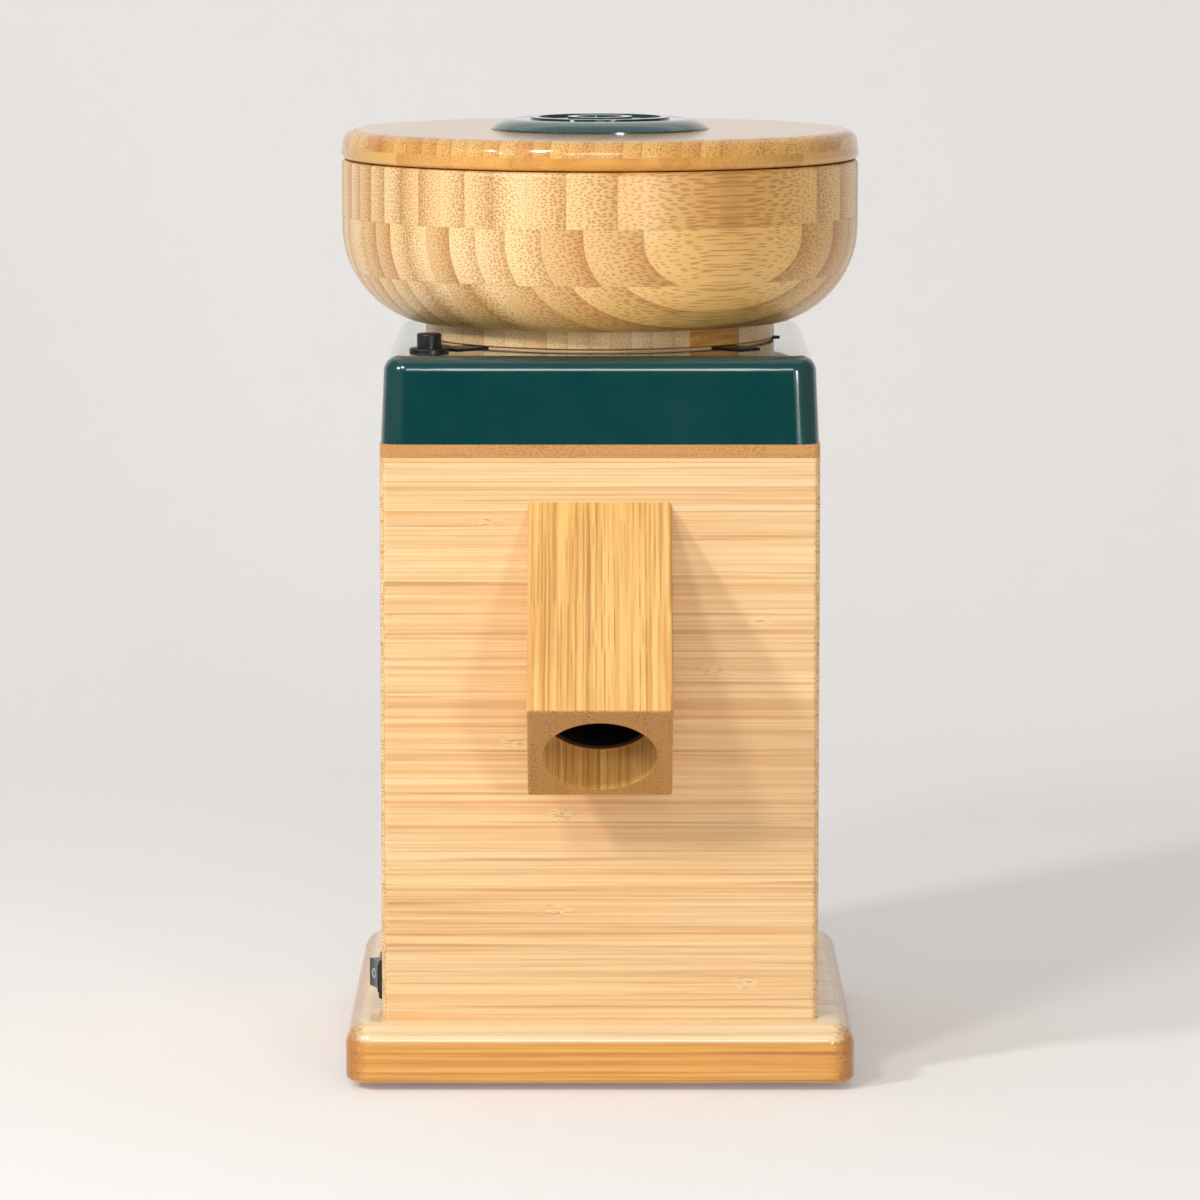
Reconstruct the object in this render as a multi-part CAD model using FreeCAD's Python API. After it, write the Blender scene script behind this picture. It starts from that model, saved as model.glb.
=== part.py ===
import FreeCAD, Part
import math
import os

# Electric stone grain mill: a square bamboo housing on a wider base, a glossy top cap, a turning
# bowl hopper with a lid, and a sloping square flour spout. Millimetres, +Z up.
# Every function below works from the mill axis (the axis of the motor, stones and hopper) and the
# floor. The finished pieces are then moved back so that the origin lies under the middle of the mill.

# Overall sizes
foot_height = 3.0
base_width = 192.0
base_depth = 208.0
base_thick = 22.4
body_width = 165.0
body_depth = 181.0
panel_height = 213.2
panel_thick = 12.0
band_height = 5.1
cap_height = 32.7
neck_height = 8.0
bowl_height = 61.3
bowl_radius = 99.7
lid_radius = 100.0

# Levels up the mill axis
base_top = foot_height + base_thick
panel_top = base_top + panel_height
deck_top = panel_top + band_height
cap_top = deck_top + cap_height
bowl_bottom = cap_top + neck_height
bowl_rim = bowl_bottom + bowl_height

# Clearances: round a fastener in its hole, and between wooden pieces that are pushed together
screw_gap = 0.05
slip = 0.2
overshoot = 1.0

# Housing box
half_width = body_width / 2
half_depth = body_depth / 2
inner_x = half_width - panel_thick
inner_y = half_depth - panel_thick
panel_middle_x = half_width - panel_thick / 2
panel_middle_y = half_depth - panel_thick / 2
panel_edge_round = 3.0
tongue_depth = 5.0

# Base board: plan corners, top edge and bottom edge, and the air slots under the fan
base_corner_round = 10.0
base_top_round = 8.6
base_bottom_round = 2.5
air_slot_width = 5.0
air_slot_pitch = 9.5
air_slot_count = 9
air_circle_radius = 43.0

# Feet
foot_radius = 10.0
foot_x = 70.0
foot_y = 78.0
foot_pocket_radius = 3.9

# Rear panel vents: two columns of slots
vent_width = 4.6
vent_half_length = 24.0
vent_column_x = 32.0
vent_first_z = 100.0
vent_pitch = 10.0
vent_rows = 9

# Cap: wall, draft of the sides, plan corners and top edge
cap_wall = 2.6
cap_draft = 1.45
cap_corner_round = 9.0
cap_edge_round = 6.0
cap_opening_radius = 63.0
cap_half_x = half_width - slip
cap_half_y = half_depth - slip

# Screws: radius of shank, radius of head, height of head, length
foot_screw_size = (2.0, 3.8, 1.8, 14.0)
base_screw_size = (2.2, 4.2, 2.2, 34.0)
deck_screw_size = (1.8, 3.6, 1.9, 24.0)
spout_screw_size = (1.5, 2.6, 1.8, 24.0)
chamber_screw_size = (2.0, 3.8, 2.0, 13.2)
ring_screw_size = (2.0, 3.7, 1.9, 37.2)
stone_screw_size = (1.6, 2.9, 1.9, 9.1)
collar_screw_size = (1.8, 3.2, 1.7, 8.6)
clip_screw_size = (1.6, 3.0, 1.8, 2.1)

# Sloping spout, cut from square stock
spout_width = 53.8
spout_angle = math.radians(46.0)
spout_top = 221.98
spout_edge_round = 1.2
spout_reach = 157.4
bore_drop = 1.5
mouth_radius = 21.2
mouth_depth = 18.0
liner_radius = 20.5
liner_bore = 18.7
slope_y = math.cos(spout_angle)
slope_z = math.sin(spout_angle)
spout_tip_z = spout_top - (spout_reach - half_depth) * math.tan(spout_angle)
mouth_offset = spout_width / 2 + bore_drop
mouth_y = -spout_reach + mouth_offset * slope_z
mouth_z = spout_tip_z - mouth_offset * slope_y
flange_back = -inner_y + 3.0
liner_flange_half = 28.0
liner_flange_low = 147.0
liner_flange_high = 230.0
far_up_spout = 160.0

# Adjusting thread between the fixed ring and the turning hopper, drawn at its mean size
thread_radius = 52.0
thread_clearance = 0.08
thread_lead = 4.0
turn_range = 270.0
ring_body_radius = 61.0

# The ring's thin flange lies on the cap, with four ears and two side points that reach past the neck
plate_radius = 66.3
plate_thick = 0.6
plate_top = cap_top + plate_thick
ear_reach = 81.0
ear_root_radius = 64.0
ear_half_angle = 3.5
ear_root_half_angle = 6.0
ear_angles = (45.0, 135.0, 225.0, 315.0)
point_reach = 69.8
point_half_angle = 6.5
point_angles = (0.0, 180.0)

# Neck ring and the threaded collar inside it
neck_outer = 67.5
neck_inner = 62.2
neck_bottom = plate_top + 0.3
collar_inner = 45.0
collar_step_radius = 48.6
collar_step_level = 274.0
collar_flange_radius = 62.0
collar_flange_low = bowl_bottom - 3.0
collar_screw_circle = 57.0
collar_screw_angles = (45.0, 135.0, 225.0, 315.0)
rib_width = 6.0
rib_offset_angle = 12.0

# Bowl and feed funnel
bowl_outer_round = 38.2
bowl_belly_level = bowl_bottom + 36.0
bowl_inner_round = 34.0
bowl_inner_level = bowl_bottom + 42.6
bowl_wall = 8.2
bowl_inner_radius = bowl_radius - bowl_wall
rim_round = 1.6
floor_start_angle = -78.0
floor_slope_angle = math.radians(12.0)
funnel_seat_radius = 49.2
funnel_seat_depth = 1.4
funnel_hole_radius = 46.0
funnel_throat = 14.0
funnel_wall = 1.5
funnel_drop = 22.0

# Lid and badge
lid_bottom = bowl_rim + 0.4
lid_top = 357.2
lid_plug_depth = 5.0
lid_plug_radius = bowl_inner_radius - 2.2
badge_seat_depth = 1.2
badge_radius = 42.0
badge_top = 361.2
badge_crown = 362.0
badge_rings = ((27.0, 23.5, 0.1), (12.5, 9.0, 0.0))

# Release button at the front left corner of the cap
button_x = -64.5
button_y = -62.8
button_reach = math.hypot(button_x, button_y)
button_angle = math.degrees(math.atan2(button_y, button_x))
button_radius = 4.67
button_bottom = 266.0
button_top = cap_top + 6.8
button_travel = 4.0
bush_flange_radius = 7.5
bush_flange_top = cap_top + 1.2
bush_radius = 6.2
post_radius = 2.2
post_bore = 2.35
latch_low = 268.0
latch_high = 272.0
latch_half_width = 2.45
latch_nose_radius = 49.2

# Milling chamber
chamber_bottom = 205.0
chamber_floor = 209.0
chamber_radius = 62.0
chamber_wall = 4.0
chamber_top = deck_top + 4.0
chamber_outer = chamber_radius + chamber_wall
chamber_flange_radius = 76.5
chamber_screw_circle = 71.0
chamber_hole_radius = chamber_screw_size[0] + screw_gap
chamber_leg_radius = 6.0
land_radius = 48.0
land_bottom = 226.0
guide_angles = (90.0, 210.0, 330.0)
guide_reach = 58.0
ring_screw_angles = (30.0, 150.0, 270.0)
ring_screw_circle = 56.5
seal_radius = 14.0
seal_lip_radius = 16.0

# Stones and their carriers
stone_radius = 40.7
lower_stone_bottom = 218.0
grind_level = 238.4
stone_gap = 0.4
upper_stone_low = grind_level + stone_gap
upper_stone_top = 257.0
stone_eye = 14.0
stone_eye_flare = 21.0
furrow_count = 10
furrow_depth = 1.2
stone_screw_circle = 30.0
carrier_top = 262.0
carrier_radius = 48.7
carrier_skirt_radius = 45.0
carrier_eye = 17.0
spring_seat = 230.0
spring_circle = 52.5
lug_bottom = 239.5
lug_top = 244.0
lug_width = 12.0
lug_reach = 57.0
sweep_count = 3
sweep_low = 210.3
sweep_high = 217.0
sweep_reach = 60.5

# Motor
motor_radius = 60.0
stator_bottom = 84.0
stator_top = 140.0
bell_bottom = 58.0
bell_top = 170.0
bell_wall = 7.0
bell_end = 5.0
bell_hub_radius = 22.0
air_hole_radius = 7.0
air_hole_circle = 37.5
air_hole_count = 8
rotor_radius = 33.0
air_gap = 0.6
end_ring_outer = 31.0
end_ring_inner = 20.0
end_ring_height = 5.0
shaft_radius = 8.0
shaft_bottom = 38.0
shaft_step = 236.0
shaft_top = 247.0
thread_end_radius = 6.0
bearing_radius = 17.5
bearing_height = 11.0
motor_bolt_circle = 56.5
motor_bolt_angles = (45.0, 135.0, 225.0, 315.0)
motor_bolt_radius = 2.2
motor_bolt_top = 192.5
slot_count = 18
slot_half_width = 2.0
slot_reach = 46.5
bar_half_width = 1.7
end_turn_inner = 36.6
end_turn_outer = 50.0
end_turn_height = 17.0

# Fan
fan_radius = 48.0
fan_bottom = 38.5
fan_top = 53.0
blade_count = 9

# Power switch in the left panel
switch_y = -60.0
switch_z = 36.6
bezel_length = 21.0
bezel_height = 15.0
bezel_proud = 2.0
switch_body_depth = 16.0
switch_half_length = 9.5
switch_half_height = 6.3
rocker_half = 7.8
rocker_tilt = 13.0
rocker_half_height = 5.3
rocker_rise = 5.3
rocker_dish = 4.1
rocker_pivot_x = -half_width + 1.0
terminal_y = 5.0

# Rear cord gland
gland_x = -45.0
gland_z = 47.0
gland_radius = 8.0
gland_flange_radius = 10.5
cord_bore = 3.6
nut_corner_radius = 12.0

# Run capacitor and its clip
capacitor_x = 52.0
capacitor_y = 58.0
capacitor_radius = 16.0
capacitor_low = 34.0
capacitor_high = 98.0
clip_low = 58.0
clip_high = 70.0
clip_screw_y = capacitor_y - 17.0
clip_screw_z = (clip_low + clip_high) / 2

# The origin is under the middle of the mill: between the spout's rounded tip and the back of the base
tip_loss = spout_edge_round * (math.sqrt(2.0) - 1.0)
mill_y = (spout_reach - tip_loss - base_depth / 2) / 2


def vec(x, y, z):
    return FreeCAD.Vector(x, y, z)


def disc(radius, low, high, x=0.0, y=0.0):
    """Upright solid cylinder between two levels."""
    return Part.makeCylinder(radius, high - low, vec(x, y, low))


def ring(outer, inner, low, high, x=0.0, y=0.0):
    """Upright tube between two levels."""
    return disc(outer, low, high, x, y).cut(disc(inner, low - overshoot, high + overshoot, x, y))


def block(x0, x1, y0, y1, z0, z1):
    """Box between two opposite corners."""
    return Part.makeBox(x1 - x0, y1 - y0, z1 - z0, vec(x0, y0, z0))


def rod(radius, start, direction, length):
    """Cylinder along any direction."""
    return Part.makeCylinder(radius, length, start, direction)


def prism(points, direction):
    """Flat outline through the points, pushed along a direction."""
    return Part.Face(Part.makePolygon(points + points[:1])).extrude(direction)


def joined(shapes):
    """Fuse a list of overlapping shapes into one clean solid."""
    return shapes[0].multiFuse(shapes[1:]).removeSplitter()


def less(shape, tools):
    """Cut a list of shapes away."""
    return shape.cut(tools)


def polar(radius, degrees):
    """X and Y of a point round the mill axis."""
    angle = math.radians(degrees)
    return radius * math.cos(angle), radius * math.sin(angle)


def around(radius, angles):
    """Places on a circle round the mill axis."""
    return [polar(radius, angle) for angle in angles]


def evenly(count):
    """Angles of a full turn in equal steps."""
    return [360.0 * step / count for step in range(count)]


def spun(shape, degrees):
    """A copy of the shape turned about the mill axis."""
    turned_copy = shape.copy()
    turned_copy.rotate(vec(0, 0, 0), vec(0, 0, 1), degrees)
    return turned_copy


def turned(start, steps):
    """Solid of revolution about the mill axis. Each step is a point (r, z), or a pair of points for
    an arc: one that it passes through and its end."""
    edges = []
    here = start
    for step in list(steps) + [start]:
        if isinstance(step[0], tuple):
            via, end = step
            arc = Part.Arc(vec(here[0], 0, here[1]), vec(via[0], 0, via[1]), vec(end[0], 0, end[1]))
            edges.append(arc.toShape())
        else:
            end = step
            edges.append(Part.makeLine(vec(here[0], 0, here[1]), vec(end[0], 0, end[1])))
        here = end
    face = Part.Face(Part.Wire(edges))
    return face.revolve(vec(0, 0, 0), vec(0, 0, 1), 360)


def on_arc(centre, radius, degrees):
    """Point on an arc of a turned profile."""
    angle = math.radians(degrees)
    return centre[0] + radius * math.cos(angle), centre[1] + radius * math.sin(angle)


def upright_edges(shape):
    """Straight edges that run up and down."""
    return [e for e in shape.Edges if abs(e.tangentAt(e.FirstParameter).z) > 0.999]


def edges_at(shape, level):
    """Edges that lie wholly at one level."""
    found = []
    for edge in shape.Edges:
        box = edge.BoundBox
        if abs(box.ZMin - level) < 0.01 and abs(box.ZMax - level) < 0.01:
            found.append(edge)
    return found


def along_spout(radius, start, length):
    """Cylinder on the spout's axis. start is measured up the slope from the mouth."""
    foot = vec(0, mouth_y + start * slope_y, mouth_z + start * slope_z)
    return rod(radius, foot, vec(0, slope_y, slope_z), length)


def wood_screw(size, start, direction):
    """Countersunk screw whose head is at start."""
    radius, head_radius, head_height, length = size
    head = Part.makeCone(head_radius, radius, head_height, start, direction)
    return joined([head, rod(radius, start, direction, length)])


def pan_screw(size, seat, direction):
    """Machine screw whose flat head stands back from the seat, with its shank along direction."""
    radius, head_radius, head_height, length = size
    head = rod(head_radius, seat, direction * -1, head_height)
    return joined([head, rod(radius, seat - direction * 0.1, direction, length)])


def group(function, places):
    """Group of separate like solids."""
    return Part.makeCompound([function(*place) for place in places])


def four_corners(x, y):
    """Places at the four corners of a rectangle round the axis."""
    return [(-x, -y), (x, -y), (-x, y), (x, y)]


foot_places = four_corners(foot_x, foot_y)
base_screw_places = four_corners(panel_middle_x, 30.0) + four_corners(20.0, panel_middle_y)
deck_screw_places = four_corners(panel_middle_x, 48.0) + four_corners(50.0, panel_middle_y)
spout_screw_places = [(-24.3, 152.0), (24.3, 152.0), (-24.3, 208.0), (24.3, 208.0)]
base_screw_seat = foot_height + 3.0
deck_screw_head = deck_top - 0.1


def foot_screw(x, y):
    return wood_screw(foot_screw_size, vec(x, y, 1.0), vec(0, 0, 1))


def rubber_foot(x, y):
    """Round foot with a pocket for its screw's head."""
    pad = disc(foot_radius, 0, foot_height, x, y)
    pad = pad.makeChamfer(0.6, edges_at(pad, 0.0))
    pocket = disc(foot_pocket_radius, -overshoot, foot_height - 0.2, x, y)
    hole = disc(foot_screw_size[0] + screw_gap, 0, foot_height + overshoot, x, y)
    return less(pad, [pocket, hole])


def base_screw(x, y):
    return wood_screw(base_screw_size, vec(x, y, base_screw_seat), vec(0, 0, 1))


def air_slot(x):
    """Slot with round ends that runs along Y through the base."""
    half_width_of_slot = air_slot_width / 2
    half_length = math.sqrt(air_circle_radius ** 2 - x ** 2) - half_width_of_slot
    low = foot_height - overshoot
    high = base_top + overshoot
    straight = block(x - half_width_of_slot, x + half_width_of_slot, -half_length, half_length, low, high)
    ends = [disc(half_width_of_slot, low, high, x, y) for y in (-half_length, half_length)]
    return joined([straight] + ends)


def base_plate():
    """Thick board with rounded edges, a vent under the fan, and holes for its screws."""
    board = block(-base_width / 2, base_width / 2, -base_depth / 2, base_depth / 2, foot_height, base_top)
    board = board.makeFillet(base_corner_round, upright_edges(board))
    board = board.makeFillet(base_top_round, edges_at(board, base_top))
    board = board.makeFillet(base_bottom_round, edges_at(board, foot_height))
    middle = (air_slot_count - 1) / 2
    cuts = [air_slot((step - middle) * air_slot_pitch) for step in range(air_slot_count)]
    for x, y in foot_places:
        cuts.append(disc(foot_screw_size[0] + screw_gap, foot_height - overshoot, 15.2, x, y))
    radius, head_radius, head_height, _ = base_screw_size
    for x, y in base_screw_places:
        cuts.append(disc(head_radius + slip, foot_height - overshoot, base_screw_seat, x, y))
        cuts.append(Part.makeCone(head_radius + 0.1, radius, head_height + 0.1, vec(x, y, base_screw_seat)))
        cuts.append(disc(radius + screw_gap, foot_height, base_top + overshoot, x, y))
    return less(board, cuts)


def panel_foot_holes():
    """Pilot holes for the base screws in the panels' lower edges."""
    top = base_screw_seat + base_screw_size[3] + slip
    radius = base_screw_size[0] + screw_gap
    return [disc(radius, base_top - overshoot, top, x, y) for x, y in base_screw_places]


def deck_screw(x, y):
    return wood_screw(deck_screw_size, vec(x, y, deck_screw_head), vec(0, 0, -1))


def deck_screw_holes():
    """Countersunk holes through the deck board and down into the panels."""
    radius, head_radius, head_height, length = deck_screw_size
    bottom = deck_top - length - 0.4
    holes = []
    for x, y in deck_screw_places:
        holes.append(disc(radius + screw_gap, bottom, deck_top + overshoot, x, y))
        seat = vec(x, y, deck_screw_head - head_height)
        holes.append(Part.makeCone(radius, head_radius + 0.15, head_height + 0.15, seat))
    return holes


def spout_screw(x, z):
    """Pan head screw from inside, through the liner's flange and the panel into the spout."""
    return pan_screw(spout_screw_size, vec(x, flange_back, z), vec(0, -1, 0))


def spout_screw_holes():
    """Holes for the spout's screws, from well inside the housing into the spout."""
    radius, _, _, length = spout_screw_size
    holes = []
    for x, z in spout_screw_places:
        start = vec(x, flange_back + 10.0, z)
        holes.append(rod(radius + screw_gap, start, vec(0, -1, 0), length + 10.2))
    return holes


def face_panel(outer_y, inner_face_y):
    """Front or rear panel: full width, with its two upright outer edges rounded."""
    low_y, high_y = sorted((outer_y, inner_face_y))
    board = block(-half_width, half_width, low_y, high_y, base_top, panel_top)
    outer = [e for e in upright_edges(board) if abs(e.Vertexes[0].Y - outer_y) < 0.01]
    return board.makeFillet(panel_edge_round, outer)


def front_panel():
    """Front panel with the slanting hole for the spout's liner."""
    board = face_panel(-half_depth, -inner_y)
    liner_hole = along_spout(liner_radius + 0.3, 0, far_up_spout)
    return less(board, [liner_hole] + panel_foot_holes() + deck_screw_holes() + spout_screw_holes())


def vent_slot(x, z):
    """Level slot with round ends through the rear panel."""
    start_y = inner_y - overshoot
    depth = panel_thick + 2 * overshoot
    radius = vent_width / 2
    bar = block(x - vent_half_length, x + vent_half_length, start_y, start_y + depth,
                z - radius, z + radius)
    ends = [rod(radius, vec(end_x, start_y, z), vec(0, 1, 0), depth)
            for end_x in (x - vent_half_length, x + vent_half_length)]
    return joined([bar] + ends)


def rear_panel():
    """Rear panel with rows of vent slots and the hole for the cord gland."""
    board = face_panel(half_depth, inner_y)
    cuts = [rod(gland_radius, vec(gland_x, inner_y - overshoot, gland_z), vec(0, 1, 0), panel_thick + 2)]
    for column in (-vent_column_x, vent_column_x):
        cuts += [vent_slot(column, vent_first_z + row * vent_pitch) for row in range(vent_rows)]
    return less(board, cuts + panel_foot_holes() + deck_screw_holes())


def side_panel(side):
    """Left (-1) or right (1) panel between the front and rear ones. The left one holds the switch."""
    low_x, high_x = sorted((side * half_width, side * inner_x))
    board = block(low_x, high_x, -inner_y, inner_y, base_top, panel_top)
    cuts = panel_foot_holes() + deck_screw_holes()
    if side < 0:
        half_y = switch_half_length + slip
        half_z = switch_half_height + slip
        cuts.append(block(low_x - overshoot, high_x + overshoot, switch_y - half_y, switch_y + half_y,
                          switch_z - half_z, switch_z + half_z))
    return less(board, cuts)


def top_deck():
    """Board whose edge shows as the band under the cap. A tongue locates it inside the panels."""
    board = block(-half_width, half_width, -half_depth, half_depth, panel_top, deck_top)
    board = board.makeFillet(panel_edge_round, upright_edges(board))
    tongue_x = inner_x - slip
    tongue_y = inner_y - slip
    tongue_low = panel_top - tongue_depth
    tongue = block(-tongue_x, tongue_x, -tongue_y, tongue_y, tongue_low, panel_top + overshoot)
    board = joined([board, tongue])
    cuts = [disc(chamber_outer + 0.4, tongue_low - overshoot, deck_top + overshoot)]
    for x, y in around(chamber_screw_circle, motor_bolt_angles):
        cuts.append(disc(chamber_hole_radius, tongue_low - overshoot, deck_top + overshoot, x, y))
    cuts.append(disc(post_radius, deck_top - 6.0, deck_top + overshoot, button_x, button_y))
    return less(board, cuts + deck_screw_holes())


def rounded_outline(half_x, half_y, radius, level):
    """Rectangle with round corners, as a wire at one level."""
    slab = block(-half_x, half_x, -half_y, half_y, level, level + 1)
    slab = slab.makeFillet(radius, upright_edges(slab))
    return [f for f in slab.Faces if abs(f.BoundBox.ZMax - level) < 0.01][0].OuterWire


def cap_form(inset, low, high, edge_radius):
    """Tapered block of the cap's form, drawn in by inset on every side."""
    half_x = cap_half_x - inset
    half_y = cap_half_y - inset
    radius = cap_corner_round - inset
    foot = rounded_outline(half_x, half_y, radius, low)
    crown = rounded_outline(half_x - cap_draft, half_y - cap_draft, radius, high)
    body = Part.makeLoft([foot, crown], True, True)
    return body.makeFillet(edge_radius, edges_at(body, high))


def top_cap():
    """Hollow glossy cap with an opening for the neck and a hole for the button."""
    shell = cap_form(0.0, deck_top, cap_top, cap_edge_round)
    hollow = cap_form(cap_wall, deck_top - overshoot, cap_top - cap_wall, cap_edge_round - cap_wall)
    neck_hole = disc(cap_opening_radius, deck_top, cap_top + overshoot)
    button_hole = disc(bush_radius + 0.1, deck_top, cap_top + overshoot, button_x, button_y)
    return less(shell, [hollow, neck_hole, button_hole])


def plate_ear(degrees):
    """Tapered ear of the thread ring's flange."""
    corners = [
        polar(ear_root_radius, degrees - ear_root_half_angle),
        polar(ear_reach, degrees - ear_half_angle),
        polar(ear_reach, degrees + ear_half_angle),
        polar(ear_root_radius, degrees + ear_root_half_angle),
    ]
    return prism([vec(x, y, cap_top) for x, y in corners], vec(0, 0, plate_thick))


def plate_point(degrees):
    """Low pointer at the side of the thread ring's flange."""
    corners = [
        polar(ear_root_radius, degrees - point_half_angle),
        polar(point_reach, degrees),
        polar(ear_root_radius, degrees + point_half_angle),
    ]
    return prism([vec(x, y, cap_top) for x, y in corners], vec(0, 0, plate_thick))


def ring_screw_holes(low, head_level):
    """Clearance holes and head pockets for the screws that hold the thread ring."""
    radius, head_radius, _, _ = ring_screw_size
    holes = []
    for x, y in around(ring_screw_circle, ring_screw_angles):
        holes.append(disc(radius + screw_gap, low, plate_top + overshoot, x, y))
        holes.append(disc(head_radius + 0.1, head_level, plate_top + overshoot, x, y))
    return holes


def thread_ring():
    """Fixed nut for the hopper. Its thin flange lies on the cap, and a window lets the latch bar in."""
    body = [disc(plate_radius, cap_top, plate_top),
            disc(ring_body_radius, chamber_top, cap_top + plate_thick / 2)]
    body += [plate_ear(angle) for angle in ear_angles]
    body += [plate_point(angle) for angle in point_angles]
    bore = disc(thread_radius + thread_clearance, chamber_top - overshoot, plate_top + overshoot)
    window_half = latch_half_width + 1.15
    window = block(thread_radius - 12.0, plate_radius + 4.0, -window_half, window_half,
                   latch_low - button_travel - 0.5, latch_high + 0.6)
    head_level = plate_top - ring_screw_size[2] - 0.3
    return less(joined(body), [bore, spun(window, button_angle)]
                + ring_screw_holes(chamber_top - overshoot, head_level))


def ring_screw(x, y):
    """Long screw down through the thread ring into the chamber's rim."""
    seat = vec(x, y, plate_top - ring_screw_size[2] - 0.3)
    return pan_screw(ring_screw_size, seat, vec(0, 0, -1))


def milling_chamber():
    """Cast cup that hangs in the deck: round trough, land with three guide slots, chute and legs."""
    solid = [disc(chamber_outer, chamber_bottom, chamber_top),
             disc(chamber_flange_radius, deck_top, chamber_top)]
    for x, y in around(motor_bolt_circle, motor_bolt_angles):
        solid.append(disc(chamber_leg_radius, bell_top, chamber_bottom + overshoot, x, y))
    chute_top = panel_top - tongue_depth - overshoot
    chute = along_spout(liner_radius + 1.0, 60, 90)
    solid.append(chute.common(block(-40, 40, flange_back, -30, 150, chute_top)))
    above = chamber_top + overshoot
    cuts = [disc(chamber_radius, chamber_floor, land_bottom),
            disc(land_radius, land_bottom - overshoot, above),
            disc(seal_radius, chamber_bottom - overshoot, chamber_floor + overshoot),
            disc(bush_flange_radius + 1.5, deck_top - overshoot, above, button_x, button_y)]
    slot_half = lug_width / 2 + 0.4
    guide = block(40, guide_reach, -slot_half, slot_half, spring_seat, above)
    cuts += [spun(guide, angle) for angle in guide_angles]
    flow = along_spout(liner_bore, 40, 110)
    cuts.append(flow.common(block(-40, 40, -90, -20, 140, chute_top - 3.0)))
    for x, y in around(motor_bolt_circle, motor_bolt_angles):
        cuts.append(disc(motor_bolt_radius + screw_gap, bell_top - overshoot, motor_bolt_top + 0.5, x, y))
    for x, y in around(chamber_screw_circle, motor_bolt_angles):
        cuts.append(disc(chamber_hole_radius, deck_top - overshoot, above, x, y))
    for x, y in around(ring_screw_circle, ring_screw_angles):
        cuts.append(disc(ring_screw_size[0] + screw_gap, chamber_top - 10.4, above, x, y))
    return less(joined(solid), cuts)


def chamber_screw(x, y):
    """Screw down through the chamber's flange and the deck board."""
    return pan_screw(chamber_screw_size, vec(x, y, chamber_top), vec(0, 0, -1))


def chamber_seal():
    """Felt and rubber seal round the shaft in the chamber's floor."""
    bore = shaft_radius + 0.3
    return joined([ring(seal_radius, bore, chamber_bottom, chamber_floor + overshoot),
                   ring(seal_lip_radius, bore, chamber_floor, chamber_floor + 1.5)])


def spout_block():
    """Square wooden spout cut upright where it meets the panel, with a stepped bore for its liner."""
    tip = (-spout_reach, spout_tip_z)
    low = (tip[0] + spout_width * slope_z, tip[1] - spout_width * slope_y)
    back_low = (-half_depth, low[1] + (-half_depth - low[0]) * math.tan(spout_angle))
    outline = [(-half_depth, spout_top), tip, low, back_low]
    solid = prism([vec(-spout_width / 2, y, z) for y, z in outline], vec(spout_width, 0, 0))
    outer_edges = [e for e in solid.Edges if e.BoundBox.YMin < -half_depth - 0.5]
    solid = solid.makeFillet(spout_edge_round, outer_edges)
    mouth = along_spout(mouth_radius, -10, 10 + mouth_depth)
    liner_seat = along_spout(liner_radius + 0.1, mouth_depth - overshoot, far_up_spout)
    return less(solid, [mouth, liner_seat] + spout_screw_holes())


def spout_liner():
    """Plastic tube that lines the spout, with a flange behind the panel."""
    tube = along_spout(liner_radius, mouth_depth, 120)
    tube = tube.common(block(-40, 40, -200, flange_back, 60, 300))
    flange = block(-liner_flange_half, liner_flange_half, -inner_y, flange_back, liner_flange_low,
                   liner_flange_high)
    corners = [e for e in flange.Edges if abs(e.tangentAt(e.FirstParameter).y) > 0.999]
    flange = flange.makeFillet(4.0, corners)
    return less(joined([tube, flange]), [along_spout(liner_bore, 0, far_up_spout)] + spout_screw_holes())


def button_bush():
    """Flanged guide for the release button, pressed into the cap."""
    flange = disc(bush_flange_radius, cap_top, bush_flange_top, button_x, button_y)
    flange = flange.makeFillet(0.5, edges_at(flange, bush_flange_top))
    sleeve = disc(bush_radius, latch_high + 0.8, cap_top + 0.5, button_x, button_y)
    bore = disc(button_radius + 0.08, button_bottom, button_top, button_x, button_y)
    return less(joined([flange, sleeve]), [bore])


def release_button():
    """Round push button with a hollow stem that slides on the guide post."""
    stem = disc(button_radius, button_bottom, button_top, button_x, button_y)
    stem = stem.makeFillet(0.8, edges_at(stem, button_top))
    half = latch_half_width + 0.05
    slot = block(button_reach - 6, button_reach + 6, -half, half, latch_low, latch_high)
    bore = disc(post_bore, button_bottom - overshoot, button_bottom + 9.0, button_x, button_y)
    return less(stem, [bore, spun(slot, button_angle)])


def latch_bar():
    """Steel bar through the button's stem. Its nose stops the hopper from being unscrewed."""
    bar = block(latch_nose_radius, button_reach + 4.2, -latch_half_width, latch_half_width,
                latch_low, latch_high)
    nose = [e for e in upright_edges(bar) if e.Vertexes[0].X < latch_nose_radius + overshoot]
    bar = spun(bar.makeChamfer(0.8, nose), button_angle)
    return less(bar, [disc(post_bore, latch_low - overshoot, latch_high + overshoot, button_x, button_y)])


def latch_post():
    """Guide post with a round foot, screwed to the deck under the button."""
    foot = disc(6.5, deck_top, deck_top + 2.0, button_x, button_y)
    return joined([foot, disc(post_radius, deck_top - 5.5, 270.0, button_x, button_y)])


def button_spring():
    """Coil spring under the button, drawn as the tube that it fills."""
    return ring(4.2, 2.8, deck_top + 2.0, button_bottom - 0.1, button_x, button_y)


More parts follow.
